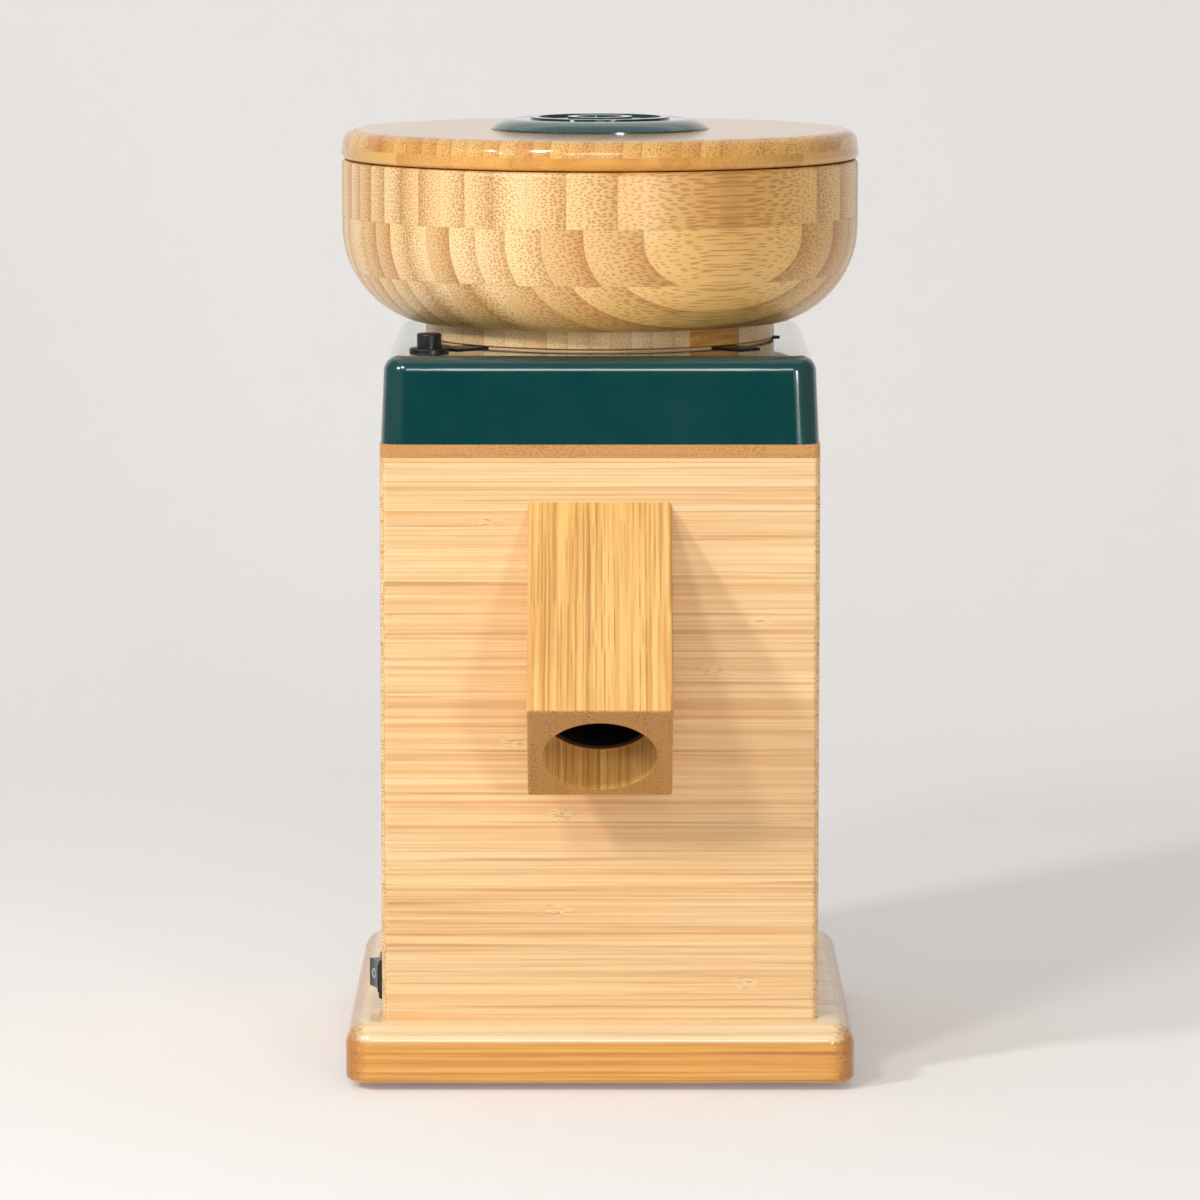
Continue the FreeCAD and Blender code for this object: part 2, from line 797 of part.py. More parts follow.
def upper_stone_carrier():
    """Cup that holds the upper stone. Three lugs slide in the chamber's guides, so it can't turn."""
    plate = disc(carrier_radius, upper_stone_top, carrier_top)
    skirt = disc(carrier_skirt_radius, lug_bottom, upper_stone_top + overshoot)
    lug = block(43.0, lug_reach, -lug_width / 2, lug_width / 2, lug_bottom, lug_top)
    body = joined([plate, skirt] + [spun(lug, angle) for angle in guide_angles])
    cuts = [disc(stone_radius + screw_gap, lug_bottom - overshoot, upper_stone_top),
            disc(carrier_eye, lug_bottom, carrier_top + overshoot)]
    radius, head_radius, head_height, _ = stone_screw_size
    for x, y in around(stone_screw_circle, ring_screw_angles):
        cuts.append(disc(radius + screw_gap, upper_stone_top - overshoot, carrier_top + overshoot, x, y))
        cuts.append(disc(head_radius + 0.1, carrier_top - head_height - 0.1, carrier_top + overshoot, x, y))
    return less(body, cuts)


def stone_screw(x, y):
    """Screw down through the carrier into the upper stone."""
    return pan_screw(stone_screw_size, vec(x, y, carrier_top - stone_screw_size[2] - 0.1), vec(0, 0, -1))


def furrows(low, high):
    """Straight channels across a grinding face, set at a slant so that they shear the grain."""
    channel = block(16.0, stone_radius + 2, 3.0, 6.0, low, high)
    return [spun(channel, angle) for angle in evenly(furrow_count)]


def upper_stone():
    """Fixed stone with a feed eye that flares at its grinding face."""
    blank = ring(stone_radius, stone_eye, upper_stone_low, upper_stone_top)
    flare = Part.makeCone(stone_eye_flare, stone_eye, 6.0, vec(0, 0, upper_stone_low))
    radius = stone_screw_size[0] + screw_gap
    holes = [disc(radius, upper_stone_top - 6.2, upper_stone_top + overshoot, x, y)
             for x, y in around(stone_screw_circle, ring_screw_angles)]
    channels = furrows(upper_stone_low - overshoot, upper_stone_low + furrow_depth)
    return less(blank, [flare] + channels + holes)


def lower_stone():
    """Turning stone with the same furrows, facing up."""
    blank = ring(stone_radius, shaft_radius, lower_stone_bottom, grind_level)
    return less(blank, furrows(grind_level - furrow_depth, grind_level + overshoot))


def lower_stone_carrier():
    """Disc on the shaft that carries the lower stone, with three sweeps that push the flour out."""
    plate = disc(stone_radius, 214.0, lower_stone_bottom)
    hub = disc(13.0, 211.0, 215.0)
    sweep = block(28.0, sweep_reach, -2.5, 2.5, sweep_low, sweep_high)
    sweeps = [spun(sweep, 60.0 + angle) for angle in evenly(sweep_count)]
    bore = disc(shaft_radius, sweep_low - 10, lower_stone_bottom + 10)
    return less(joined([plate, hub] + sweeps), [bore])


def stone_nut():
    """Hexagon nut that clamps the lower stone to the shaft."""
    corners = [vec(x, y, grind_level) for x, y in around(9.2, evenly(6))]
    bore = disc(thread_end_radius, grind_level - overshoot, grind_level + 8)
    return less(prism(corners, vec(0, 0, 7.0)), [bore])


def carrier_spring(x, y):
    """Spring under a lug of the stone carrier, drawn as the tube that it fills."""
    return ring(4.0, 2.7, spring_seat, lug_bottom - 0.1, x, y)


def collar_screw_holes(low, high):
    """Holes for the screws that hold the collar under the bowl."""
    radius = collar_screw_size[0] + screw_gap
    return [disc(radius, low, high, x, y) for x, y in around(collar_screw_circle, collar_screw_angles)]


def hopper_collar():
    """Threaded collar under the bowl, with the stop rib that meets the latch bar."""
    low = carrier_top + 0.3
    body = turned((collar_inner, low), [
        (collar_step_radius, low),
        (collar_step_radius, collar_step_level),
        (thread_radius, collar_step_level),
        (thread_radius, collar_flange_low),
        (collar_flange_radius, collar_flange_low),
        (collar_flange_radius, bowl_bottom),
        (collar_inner, bowl_bottom),
    ])
    rib_low = latch_low - thread_lead * turn_range / 360.0 + 0.3
    rib = block(collar_step_radius - 1.6, thread_radius - slip, -rib_width / 2, rib_width / 2, rib_low,
                collar_step_level + 0.5)
    rib_angle = button_angle - turn_range - rib_offset_angle
    holes = collar_screw_holes(collar_flange_low - overshoot, bowl_bottom + overshoot)
    return less(joined([body, spun(rib, rib_angle)]), holes)


def collar_screw(x, y):
    """Screw up through the collar's flange into the bowl."""
    return pan_screw(collar_screw_size, vec(x, y, collar_flange_low), vec(0, 0, 1))


def neck_ring():
    """Wooden ring that shows between the cap and the bowl."""
    body = ring(neck_outer, neck_inner, neck_bottom, bowl_bottom)
    lower_edges = edges_at(body, neck_bottom)
    return body.makeFillet(0.6, [e for e in lower_edges if e.Curve.Radius > neck_inner + overshoot])


def bowl_floor_point():
    """Where the bowl's inner round ends and its straight sloping floor begins."""
    centre = (bowl_inner_radius - bowl_inner_round, bowl_inner_level)
    return on_arc(centre, bowl_inner_round, floor_start_angle)


def funnel_lip():
    """Level of the bowl's floor where the feed funnel is let in."""
    radius, level = bowl_floor_point()
    return level - (radius - funnel_seat_radius) * math.tan(floor_slope_angle)


def hopper_bowl():
    """Thick turned bowl: upright wall, round belly, flat foot, and a floor that falls to the feed hole."""
    outer_centre = (bowl_radius - bowl_outer_round, bowl_belly_level)
    inner_centre = (bowl_inner_radius - bowl_inner_round, bowl_inner_level)
    foot_angle = -math.degrees(math.asin((bowl_belly_level - bowl_bottom) / bowl_outer_round))
    corner = rim_round * (1 - math.sqrt(0.5))
    seat = funnel_lip() - funnel_seat_depth
    body = turned((funnel_hole_radius, bowl_bottom), [
        on_arc(outer_centre, bowl_outer_round, foot_angle),
        (on_arc(outer_centre, bowl_outer_round, foot_angle / 2), (bowl_radius, bowl_belly_level)),
        (bowl_radius, bowl_rim - rim_round),
        ((bowl_radius - corner, bowl_rim - corner), (bowl_radius - rim_round, bowl_rim)),
        (bowl_inner_radius + rim_round, bowl_rim),
        ((bowl_inner_radius + corner, bowl_rim - corner), (bowl_inner_radius, bowl_rim - rim_round)),
        (bowl_inner_radius, bowl_inner_level),
        (on_arc(inner_centre, bowl_inner_round, floor_start_angle / 2), bowl_floor_point()),
        (funnel_seat_radius, funnel_lip()),
        (funnel_seat_radius, seat),
        (funnel_hole_radius, seat),
    ])
    return less(body, collar_screw_holes(bowl_bottom - overshoot, bowl_bottom + 5.7))


def feed_throat():
    """Funnel in the bowl's floor that leads the grain down to the stones."""
    lip = funnel_lip()
    seat = lip - funnel_seat_depth
    outer = funnel_seat_radius - slip
    tube_bottom = carrier_top - 3.0
    return turned((outer, seat), [
        (outer, lip - 0.1),
        (funnel_hole_radius - 1.0, lip - 0.5),
        (funnel_throat, lip - funnel_drop),
        (funnel_throat, tube_bottom),
        (funnel_throat + funnel_wall, tube_bottom),
        (funnel_throat + funnel_wall, lip - funnel_drop - 1.0),
        (funnel_hole_radius - 2.0, lip - 3.2),
        (funnel_hole_radius - slip, seat),
    ])


def hopper_lid():
    """Thick lid with a rounded edge, a locating disc underneath and a seat for the badge."""
    plug_low = lid_bottom - lid_plug_depth
    seat_radius = badge_radius + slip
    return turned((0.0, plug_low), [
        (lid_plug_radius - 1.0, plug_low),
        ((lid_plug_radius - 0.3, plug_low + 0.3), (lid_plug_radius, plug_low + 1.0)),
        (lid_plug_radius, lid_bottom),
        (lid_radius - 2.2, lid_bottom),
        ((lid_radius - 0.65, lid_bottom + 0.65), (lid_radius, lid_bottom + 2.4)),
        (lid_radius - 0.5, lid_top - 5.0),
        ((lid_radius - 2.0, lid_top - 1.6), (lid_radius - 6.0, lid_top)),
        (seat_radius, lid_top),
        (seat_radius, lid_top - badge_seat_depth),
        (0.0, lid_top - badge_seat_depth),
    ])


def lid_badge():
    """Low domed disc on the lid, with two plain raised rings."""
    bottom = lid_top - badge_seat_depth
    dome = turned((0.0, bottom), [
        (badge_radius, bottom),
        (badge_radius, lid_top + 0.5),
        ((badge_radius - 3.2, badge_top - 1.1), (badge_radius - 11.0, badge_top - 0.2)),
        (0.0, badge_top),
    ])
    rings = [ring(outer, inner, badge_top - 1.5, badge_crown - drop) for outer, inner, drop in badge_rings]
    return joined([dome] + rings)


def switch_housing():
    """Rectangular switch body with a bezel outside the panel and a recess for the rocker."""
    face = -half_width - bezel_proud
    bezel = block(face, -half_width, switch_y - bezel_length / 2, switch_y + bezel_length / 2,
                  switch_z - bezel_height / 2, switch_z + bezel_height / 2)
    bezel = bezel.makeChamfer(0.7, [e for e in bezel.Edges if e.BoundBox.XMax < face + 0.01])
    body = block(-half_width - overshoot, -half_width + switch_body_depth,
                 switch_y - switch_half_length, switch_y + switch_half_length,
                 switch_z - switch_half_height, switch_z + switch_half_height)
    recess_half_y = switch_half_length - 0.4
    recess_half_z = rocker_half_height + 0.3
    recess = block(face - overshoot, rocker_pivot_x + 7.0,
                   switch_y - recess_half_y, switch_y + recess_half_y,
                   switch_z - recess_half_z, switch_z + recess_half_z)
    pivot_half = recess_half_z + 0.5
    pivots = disc(1.05, switch_z - pivot_half, switch_z + pivot_half, rocker_pivot_x, switch_y)
    return less(joined([bezel, body]), [recess, pivots])


def switch_terminal(y):
    """Flat tab behind the switch."""
    low = -half_width + switch_body_depth
    return block(low, low + 8.0, switch_y + y - 0.4, switch_y + y + 0.4, switch_z - 2.4, switch_z + 2.4)


def switch_rocker():
    """Rocker with a dished face. It is shown with its rear half standing out."""
    face_x = rocker_pivot_x - rocker_rise
    back_x = rocker_pivot_x + 3.6
    low_z = switch_z - rocker_half_height
    outline = [(face_x, rocker_half), (rocker_pivot_x, rocker_half - 0.3), (back_x, 5.6), (back_x, -5.6),
               (rocker_pivot_x, -rocker_half + 0.3), (face_x, -rocker_half)]
    points = [vec(x, switch_y + y, low_z) for x, y in outline]
    edges = [Part.makeLine(a, b) for a, b in zip(points, points[1:])]
    valley = vec(rocker_pivot_x - rocker_dish, switch_y, low_z)
    edges.append(Part.Arc(points[-1], valley, points[0]).toShape())
    body = Part.Face(Part.Wire(edges)).extrude(vec(0, 0, 2 * rocker_half_height))
    pin_half = rocker_half_height + 0.7
    pin = disc(1.0, switch_z - pin_half, switch_z + pin_half, rocker_pivot_x, switch_y)
    body = joined([body, pin])
    body.rotate(vec(rocker_pivot_x, switch_y, 0), vec(0, 0, 1), rocker_tilt)
    return body


def gland_rod(radius, start_y, end_y):
    """Cylinder on the gland's axis."""
    return rod(radius, vec(gland_x, start_y, gland_z), vec(0, 1, 0), end_y - start_y)


def cord_gland():
    """Gland in the rear panel, with a tapered nose. The cord itself isn't part of the mill."""
    flange = gland_rod(gland_flange_radius, half_depth, half_depth + 2.5)
    nose = Part.makeCone(gland_radius, 5.6, 7.5, vec(gland_x, half_depth + 2.4, gland_z), vec(0, 1, 0))
    barrel = gland_rod(gland_radius - screw_gap, inner_y - 7.0, half_depth + overshoot)
    return less(joined([flange, nose, barrel]), [gland_rod(cord_bore, inner_y - 20, half_depth + 30)])


def gland_nut():
    """Hexagon nut on the gland's thread inside the panel."""
    corners = []
    for x, z in around(nut_corner_radius, evenly(6)):
        corners.append(vec(gland_x + x, inner_y - 5.0, gland_z + z))
    bore = gland_rod(gland_radius - screw_gap, inner_y - 10, inner_y + 10)
    return less(prism(corners, vec(0, 5.0, 0)), [bore])


def motor_bell(low, high, end_low, pocket_low, pocket_high):
    """End cover of the motor, with a bearing pocket and a ring of air holes."""
    end_high = end_low + bell_end
    far_low = low - 20
    far_high = high + 20
    shell = ring(motor_radius, motor_radius - bell_wall, low, high)
    end = disc(motor_radius, end_low, end_high)
    hub = disc(bell_hub_radius, min(pocket_low, end_low), max(pocket_high, end_high))
    cuts = [disc(bearing_radius, pocket_low, pocket_high), disc(shaft_radius + 1.0, far_low, far_high)]
    for x, y in around(air_hole_circle, [angle + 22.5 for angle in evenly(air_hole_count)]):
        cuts.append(disc(air_hole_radius, far_low, far_high, x, y))
    for x, y in around(motor_bolt_circle, motor_bolt_angles):
        cuts.append(disc(motor_bolt_radius + screw_gap, far_low, far_high, x, y))
    return less(joined([shell, end, hub]), cuts)


def motor_lower_bell():
    return motor_bell(bell_bottom, stator_bottom, bell_bottom, bell_bottom + 3, bell_bottom + 15)


def motor_upper_bell():
    return motor_bell(stator_top, bell_top, bell_top - bell_end, bell_top - 10, bell_top + 2)


def bearing(low):
    """Sealed ball bearing, drawn as its two rings and shields together."""
    return ring(bearing_radius, shaft_radius + 0.04, low, low + bearing_height)


def stator_core():
    """Stack of laminations with open slots for the winding."""
    core = ring(motor_radius, rotor_radius + air_gap, stator_bottom, stator_top)
    slot = block(rotor_radius - 2, slot_reach, -slot_half_width, slot_half_width, stator_bottom - overshoot,
                 stator_top + overshoot)
    cuts = [spun(slot, angle) for angle in evenly(slot_count)]
    for x, y in around(motor_bolt_circle, motor_bolt_angles):
        cuts.append(disc(motor_bolt_radius + screw_gap, stator_bottom - 20, stator_top + 20, x, y))
    return less(core, cuts)


def end_turn(low):
    """Bundle of wires at one end of the stator, with its edges drawn in."""
    high = low + end_turn_height
    body = ring(end_turn_outer, end_turn_inner, low, high)
    return body.makeChamfer(4.0, edges_at(body, low) + edges_at(body, high))


def stator_winding():
    """Both end turns, and the bars of wire that join them through the slots."""
    bar = block(end_turn_inner + 0.9, slot_reach - 0.5, -bar_half_width, bar_half_width, stator_bottom - 6,
                stator_top + 6)
    bars = [spun(bar, angle) for angle in evenly(slot_count)]
    ends = [end_turn(stator_bottom - end_turn_height - overshoot), end_turn(stator_top + overshoot)]
    return joined(ends + bars)


def thermal_cutout():
    """Small cut-out that rests on the winding."""
    low = stator_top + end_turn_height + overshoot
    return block(38.5, 48.5, -4.0, 4.0, low, low + 5.0)


def motor_bolt(x, y):
    """Long bolt up through both bells and the stator into a leg of the chamber."""
    shank = disc(motor_bolt_radius, bell_bottom - 0.1, motor_bolt_top, x, y)
    return joined([shank, disc(4.0, bell_bottom - 3.0, bell_bottom, x, y)])


def motor_shaft():
    """Shaft from the fan up to the stone nut, stepped down at its threaded top."""
    return turned((0.0, shaft_bottom), [
        (shaft_radius - 1, shaft_bottom),
        (shaft_radius, shaft_bottom + 1),
        (shaft_radius, shaft_step),
        (thread_end_radius, shaft_step),
        (thread_end_radius, shaft_top - 0.8),
        (thread_end_radius - 0.8, shaft_top),
        (0.0, shaft_top),
    ])


def rotor_core():
    return ring(rotor_radius, shaft_radius, stator_bottom + 2, stator_top - 2)


def rotor_end_ring(low):
    return ring(end_ring_outer, end_ring_inner, low, low + end_ring_height)


def cooling_fan():
    """Radial fan under the motor: hub, thin disc and nine blades."""
    hub = disc(13.0, shaft_bottom + 1, fan_top)
    web = disc(fan_radius, fan_top - 2.5, fan_top - 0.5)
    blade = block(11.0, fan_radius, -1.0, 1.0, fan_bottom, fan_top - 2.0)
    blades = [spun(blade, angle) for angle in evenly(blade_count)]
    return less(joined([hub, web] + blades), [disc(shaft_radius, fan_bottom - 10, fan_top + 10)])


def run_capacitor():
    """Round capacitor can with two terminal tabs."""
    can = disc(capacitor_radius, capacitor_low, capacitor_high, capacitor_x, capacitor_y)
    can = can.makeFillet(2.0, edges_at(can, capacitor_high))
    tabs = []
    for offset in (-7.0, 7.0):
        x = capacitor_x + offset
        tabs.append(block(x - 3, x + 3, capacitor_y - 0.4, capacitor_y + 0.4, capacitor_high - 0.5,
                          capacitor_high + 7.0))
    return joined([can] + tabs)


def capacitor_clip():
    """Band round the capacitor with an ear on the right panel."""
    band = ring(capacitor_radius + 1.3, capacitor_radius + 0.1, clip_low, clip_high,
                capacitor_x, capacitor_y)
    ear = block(inner_x - 2.0, inner_x, capacitor_y - 22.0, capacitor_y + 4.0, clip_low, clip_high)
    ear = less(ear, [disc(capacitor_radius + 0.5, clip_low - 8, clip_high + 8, capacitor_x, capacitor_y)])
    hole = rod(clip_screw_size[0] + 0.1, vec(inner_x - 10, clip_screw_y, clip_screw_z), vec(1, 0, 0), 30)
    return less(joined([band, ear]), [hole])


def clip_screw():
    return pan_screw(clip_screw_size, vec(inner_x - 2.0, clip_screw_y, clip_screw_z), vec(1, 0, 0))


def housing_parts():
    """Wooden housing with its cap, base and fasteners."""
    return {
        "base_plate": base_plate(),
        "rubber_feet": group(rubber_foot, foot_places),
        "foot_screws": group(foot_screw, foot_places),
        "base_screws": group(base_screw, base_screw_places),
        "front_panel": front_panel(),
        "rear_panel": rear_panel(),
        "left_panel": side_panel(-1),
        "right_panel": side_panel(1),
        "top_deck": top_deck(),
        "deck_screws": group(deck_screw, deck_screw_places),
        "top_cap": top_cap(),
        "spout_block": spout_block(),
        "spout_liner": spout_liner(),
        "spout_screws": group(spout_screw, spout_screw_places),
    }


def milling_parts():
    """Milling chamber, stones, carriers and the fixed ring that the hopper screws into."""
    return {
        "thread_ring": thread_ring(),
        "ring_screws": group(ring_screw, around(ring_screw_circle, ring_screw_angles)),
        "milling_chamber": milling_chamber(),
        "chamber_screws": group(chamber_screw, around(chamber_screw_circle, motor_bolt_angles)),
        "chamber_seal": chamber_seal(),
        "lower_stone_carrier": lower_stone_carrier(),
        "lower_stone": lower_stone(),
        "stone_nut": stone_nut(),
        "upper_stone": upper_stone(),
        "upper_stone_carrier": upper_stone_carrier(),
        "stone_screws": group(stone_screw, around(stone_screw_circle, ring_screw_angles)),
        "carrier_springs": group(carrier_spring, around(spring_circle, guide_angles)),
    }


def hopper_parts():
    """Turning hopper with its lid, and the button that releases it."""
    return {
        "hopper_collar": hopper_collar(),
        "collar_screws": group(collar_screw, around(collar_screw_circle, collar_screw_angles)),
        "neck_ring": neck_ring(),
        "hopper_bowl": hopper_bowl(),
        "feed_throat": feed_throat(),
        "hopper_lid": hopper_lid(),
        "lid_badge": lid_badge(),
        "button_bush": button_bush(),
        "latch_post": latch_post(),
        "button_spring": button_spring(),
        "release_button": release_button(),
        "latch_bar": latch_bar(),
    }


def electric_parts():
    """Motor, switch, capacitor and cord gland."""
    return {
        "switch_housing": switch_housing(),
        "switch_terminals": group(switch_terminal, [(-terminal_y,), (terminal_y,)]),
        "switch_rocker": switch_rocker(),
        "cord_gland": cord_gland(),
        "gland_nut": gland_nut(),
        "motor_lower_bell": motor_lower_bell(),
        "motor_upper_bell": motor_upper_bell(),
        "stator_core": stator_core(),
        "stator_winding": stator_winding(),
        "thermal_cutout": thermal_cutout(),
        "motor_bolts": group(motor_bolt, around(motor_bolt_circle, motor_bolt_angles)),
        "lower_bearing": bearing(bell_bottom + 3.5),
        "upper_bearing": bearing(bell_top - 9.5),
        "motor_shaft": motor_shaft(),
        "rotor_core": rotor_core(),
        "rotor_end_rings": group(rotor_end_ring, [(stator_bottom - 3,), (stator_top - 2,)]),
        "cooling_fan": cooling_fan(),
        "run_capacitor": run_capacitor(),
        "capacitor_clip": capacitor_clip(),
        "clip_screw": clip_screw(),
    }


def write_parts():
    os.makedirs("parts", exist_ok=True)
    groups = (housing_parts(), milling_parts(), hopper_parts(), electric_parts())
    for pieces in groups:
        for name, shape in pieces.items():
            placed = shape.copy()
            placed.translate(vec(0, mill_y, 0))
            count = len(placed.Solids)
            volume = placed.Volume / 1000
            print(f"{name:22s} solids {count}  volume {volume:8.2f} cm3  valid {placed.isValid()}")
            placed.exportStep(f"parts/{name}.step")


write_parts()
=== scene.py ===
import math

import bmesh
import bpy
from mathutils import Matrix, Vector


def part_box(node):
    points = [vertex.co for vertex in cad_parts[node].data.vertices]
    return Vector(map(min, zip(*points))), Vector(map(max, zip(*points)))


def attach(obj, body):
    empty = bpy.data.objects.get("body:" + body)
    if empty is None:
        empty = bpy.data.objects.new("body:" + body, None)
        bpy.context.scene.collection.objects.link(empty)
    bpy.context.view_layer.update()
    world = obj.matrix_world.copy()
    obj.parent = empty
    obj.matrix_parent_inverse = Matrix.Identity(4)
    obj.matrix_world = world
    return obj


# Looks of an electric stone grain mill: a bamboo housing on a wider base, a glossy enamelled cap,
# a turned bowl hopper with its lid, and a square sloping spout. Metres, in the frame of the parts.

bl_info = {
    "name": "Stone grain mill finishes",
    "version": (1, 0, 0),
    "blender": (4, 5, 0),
    "location": "View3D > Sidebar > Grain mill",
    "description": "Bamboo, enamel, plastics, metals, lamps and camera for a stone grain mill",
    "category": "Object",
}

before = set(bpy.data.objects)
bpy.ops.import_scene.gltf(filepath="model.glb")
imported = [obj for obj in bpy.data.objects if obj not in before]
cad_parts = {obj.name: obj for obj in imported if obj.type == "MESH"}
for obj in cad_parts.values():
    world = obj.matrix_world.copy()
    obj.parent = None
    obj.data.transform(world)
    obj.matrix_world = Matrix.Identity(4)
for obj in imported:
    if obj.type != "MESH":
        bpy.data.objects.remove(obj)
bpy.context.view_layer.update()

MM = 0.001
BOWL_LOW, BOWL_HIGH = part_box("hopper_bowl")
SWITCH_LOW, SWITCH_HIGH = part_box("switch_housing")
LID_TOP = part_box("hopper_lid")[1].z
BASE_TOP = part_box("base_plate")[1].z
SIDE_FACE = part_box("front_panel")[0].x
MILL_AXIS = Vector(((BOWL_LOW.x + BOWL_HIGH.x) / 2, (BOWL_LOW.y + BOWL_HIGH.y) / 2, 0.0))

# Rim of the fixed ring under the neck, where a pale wood colour is a painted reflection of the neck,
# painted over the shade of the gap under it
PAINTED_REFLECTION_RADIUS = 66.6 * MM
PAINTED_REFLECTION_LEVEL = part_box("top_cap")[1].z - 0.1 * MM

# Dished face of the rocker, and the marks on it
ROCKER_HALF = 7.8 * MM
ROCKER_RISE = 5.3 * MM
ROCKER_DISH = 4.1 * MM
ROCKER_TILT = 13.0
PIVOT_DEPTH = 1.0 * MM
CIRCLE_RADIUS = 1.9 * MM
CIRCLE_BORE = 1.25 * MM
BAR_HALF_WIDTH = 0.3 * MM
BAR_HALF_HEIGHT = 1.8 * MM
MARK_THICKNESS = 0.03 * MM

# Grain of single pieces: angles in degrees, the long block in the neck ring, and the seam under the
# upper strip of the base
SPOUT_SLOPE = 46.0
LID_GRAIN = 76.0
LONG_BLOCK_LEFT = 34.0 * MM
LONG_BLOCK_RIGHT = 53.0 * MM
SEAM_LOW = BASE_TOP - 7.5 * MM
SEAM_HIGH = BASE_TOP - 5.5 * MM

# Bamboo pattern: distance between knuckles in millimetres, share of the places that have one, and
# radius of the fibre bundles as a share of their spacing, at the two sides of a strip
KNUCKLE_PITCH = 62.0
KNUCKLE_SHARE = 0.1
PITH_BUNDLE = 0.17
SKIN_BUNDLE = 0.36

# Backdrop in metres: it runs from front to back, bends up and ends at a height
SWEEP_HALF_WIDTH = 3.0
SWEEP_FRONT = -2.0
SWEEP_BACK = 1.6
SWEEP_BEND = 0.9
SWEEP_HEIGHT = 3.2

# Lamps: azimuth and elevation in degrees, distance, width and height in metres, and the property
# with the power. All look at one height on the mill's axis.
LAMP_AIM = 0.18
LAMPS = {
    "key_lamp": (-48.0, 28.5, 2.0, 0.18, 0.22, "key_power"),
    "second_lamp": (-27.0, 36.0, 2.0, 0.25, 0.3, "second_power"),
    "right_lamp": (21.0, 8.0, 2.0, 0.25, 0.35, "right_power"),
    "front_lamp": (0.0, 22.0, 2.1, 0.6, 0.3, "front_power"),
    "top_lamp": (180.0, 80.0, 2.0, 2.6, 2.6, "top_power"),
}

# Dark patch of the sky behind the camera: angles in degrees and the share of light in its middle.
# The camera itself sees the sky at a strength of its own.
PATCH_EDGE = 24.0
PATCH_CORE = 9.0
PATCH_LIGHT = 0.05
SKY_SEEN = 0.72

UP = Vector((0.0, 0.0, 1.0))
RIGHT = Vector((1.0, 0.0, 0.0))
REARWARD = Vector((0.0, 1.0, 0.0))


def heading(degrees):
    """Level direction, turned from +X towards +Y."""
    angle = math.radians(degrees)
    return Vector((math.cos(angle), math.sin(angle), 0.0))


def length_value(name, text, size):
    """Property for a length in metres."""
    return bpy.props.FloatProperty(name=name, description=text, default=size, unit="LENGTH",
                                   precision=5)


def colour_value(name, text, red, green, blue):
    """Property for a colour, given as it looks on a screen."""
    return bpy.props.FloatVectorProperty(
        name=name, description=text, subtype="COLOR_GAMMA", size=3, min=0, max=1,
        default=(red / 255, green / 255, blue / 255))


def share_value(name, text, share):
    """Property for a share from 0 to 1."""
    return bpy.props.FloatProperty(name=name, description=text, default=share, min=0, max=1,
                                   subtype="FACTOR")


def watts_value(name, text, power):
    """Property for the power of a lamp."""
    return bpy.props.FloatProperty(name=name, description=text, default=power, min=0, unit="POWER")


class MillBambooSettings(bpy.types.PropertyGroup):
    """Sizes and colours of the laminated bamboo"""
    bundle_size: length_value("Bundle size", "Spacing of the dark fibre bundles in the cane", 1.15 * MM)
    bowl_strip: length_value("Bowl strip", "Width of the strips that the bowl is turned from", 9.97 * MM)
    bowl_layer: length_value("Bowl layer", "Height of each layer of strips in the bowl", 21.3 * MM)
    lid_strip: length_value("Lid strip", "Width of the strips in the lid's upper board", 6.6 * MM)
    panel_strip: length_value("Panel strip", "Height of the strips in the panels", 9.2 * MM)
    base_strip: length_value("Base strip", "Height of the strips in the base", 7.4 * MM)
    spout_strip: length_value("Spout strip", "Width of the strips in the spout", 11.5 * MM)
    deck_strip: length_value("Deck strip", "Width of the strips in the deck board", 42.0 * MM)
    neck_strip: length_value("Neck strip", "Width of the blocks in the neck ring", 8.0 * MM)
    lid_board: length_value("Lid board", "Thickness of the lid's upper board", 6.2 * MM)
    bowl_turn: bpy.props.FloatProperty(
        name="Bowl grain heading", default=math.radians(29.5), subtype="ANGLE",
        description="Direction of the bowl's fibres, turned from the mill's width")
    panel_pale: colour_value("Panel pale", "Lightest cane of the panels", 249, 212, 157)
    panel_amber: colour_value("Panel amber", "Deeper cane of the panels", 226, 166, 98)
    bowl_pale: colour_value("Bowl pale", "Lightest cane of the bowl", 250, 201, 120)
    bowl_amber: colour_value("Bowl amber", "Deeper cane of the bowl", 204, 148, 80)
    bowl_end: colour_value("Bowl end grain", "Cut ends of the cane in the bowl", 249, 212, 154)
    neck_pale: colour_value("Neck pale", "Lightest cane of the neck ring", 255, 219, 162)
    lid_pale: colour_value("Lid pale", "Lightest cane of the lid's upper board", 233, 181, 100)
    lid_low: colour_value("Lid honey", "Cane of the lid's lower board", 232, 166, 60)
    base_pale: colour_value("Base pale", "Lightest cane of the base", 238, 177, 88)
    # Partly painted reflection: the upper strip's real pale cane is made paler still, standing in for the
    # grazing reflection on the base's top face
    base_top_and_sheen: colour_value("Base top", "Lightest cane of the base's upper strip", 254, 226, 180)
    base_amber: colour_value("Base amber", "Deeper cane of the base", 203, 127, 47)
    spout_pale: colour_value("Spout pale", "Lightest cane of the spout", 248, 199, 116)
    spout_amber: colour_value("Spout amber", "Deeper cane of the spout", 217, 147, 68)
    spout_end: colour_value("Spout mouth", "Cut end of the spout", 187, 134, 60)
    deck_end: colour_value("Deck edge", "Cut ends of the cane in the deck board", 206, 150, 88)
    bundle: colour_value("Fibre bundles", "Dark fibre bundles", 160, 98, 44)
    end_grain: colour_value("End grain", "Cut ends of the cane in the base", 193, 128, 50)


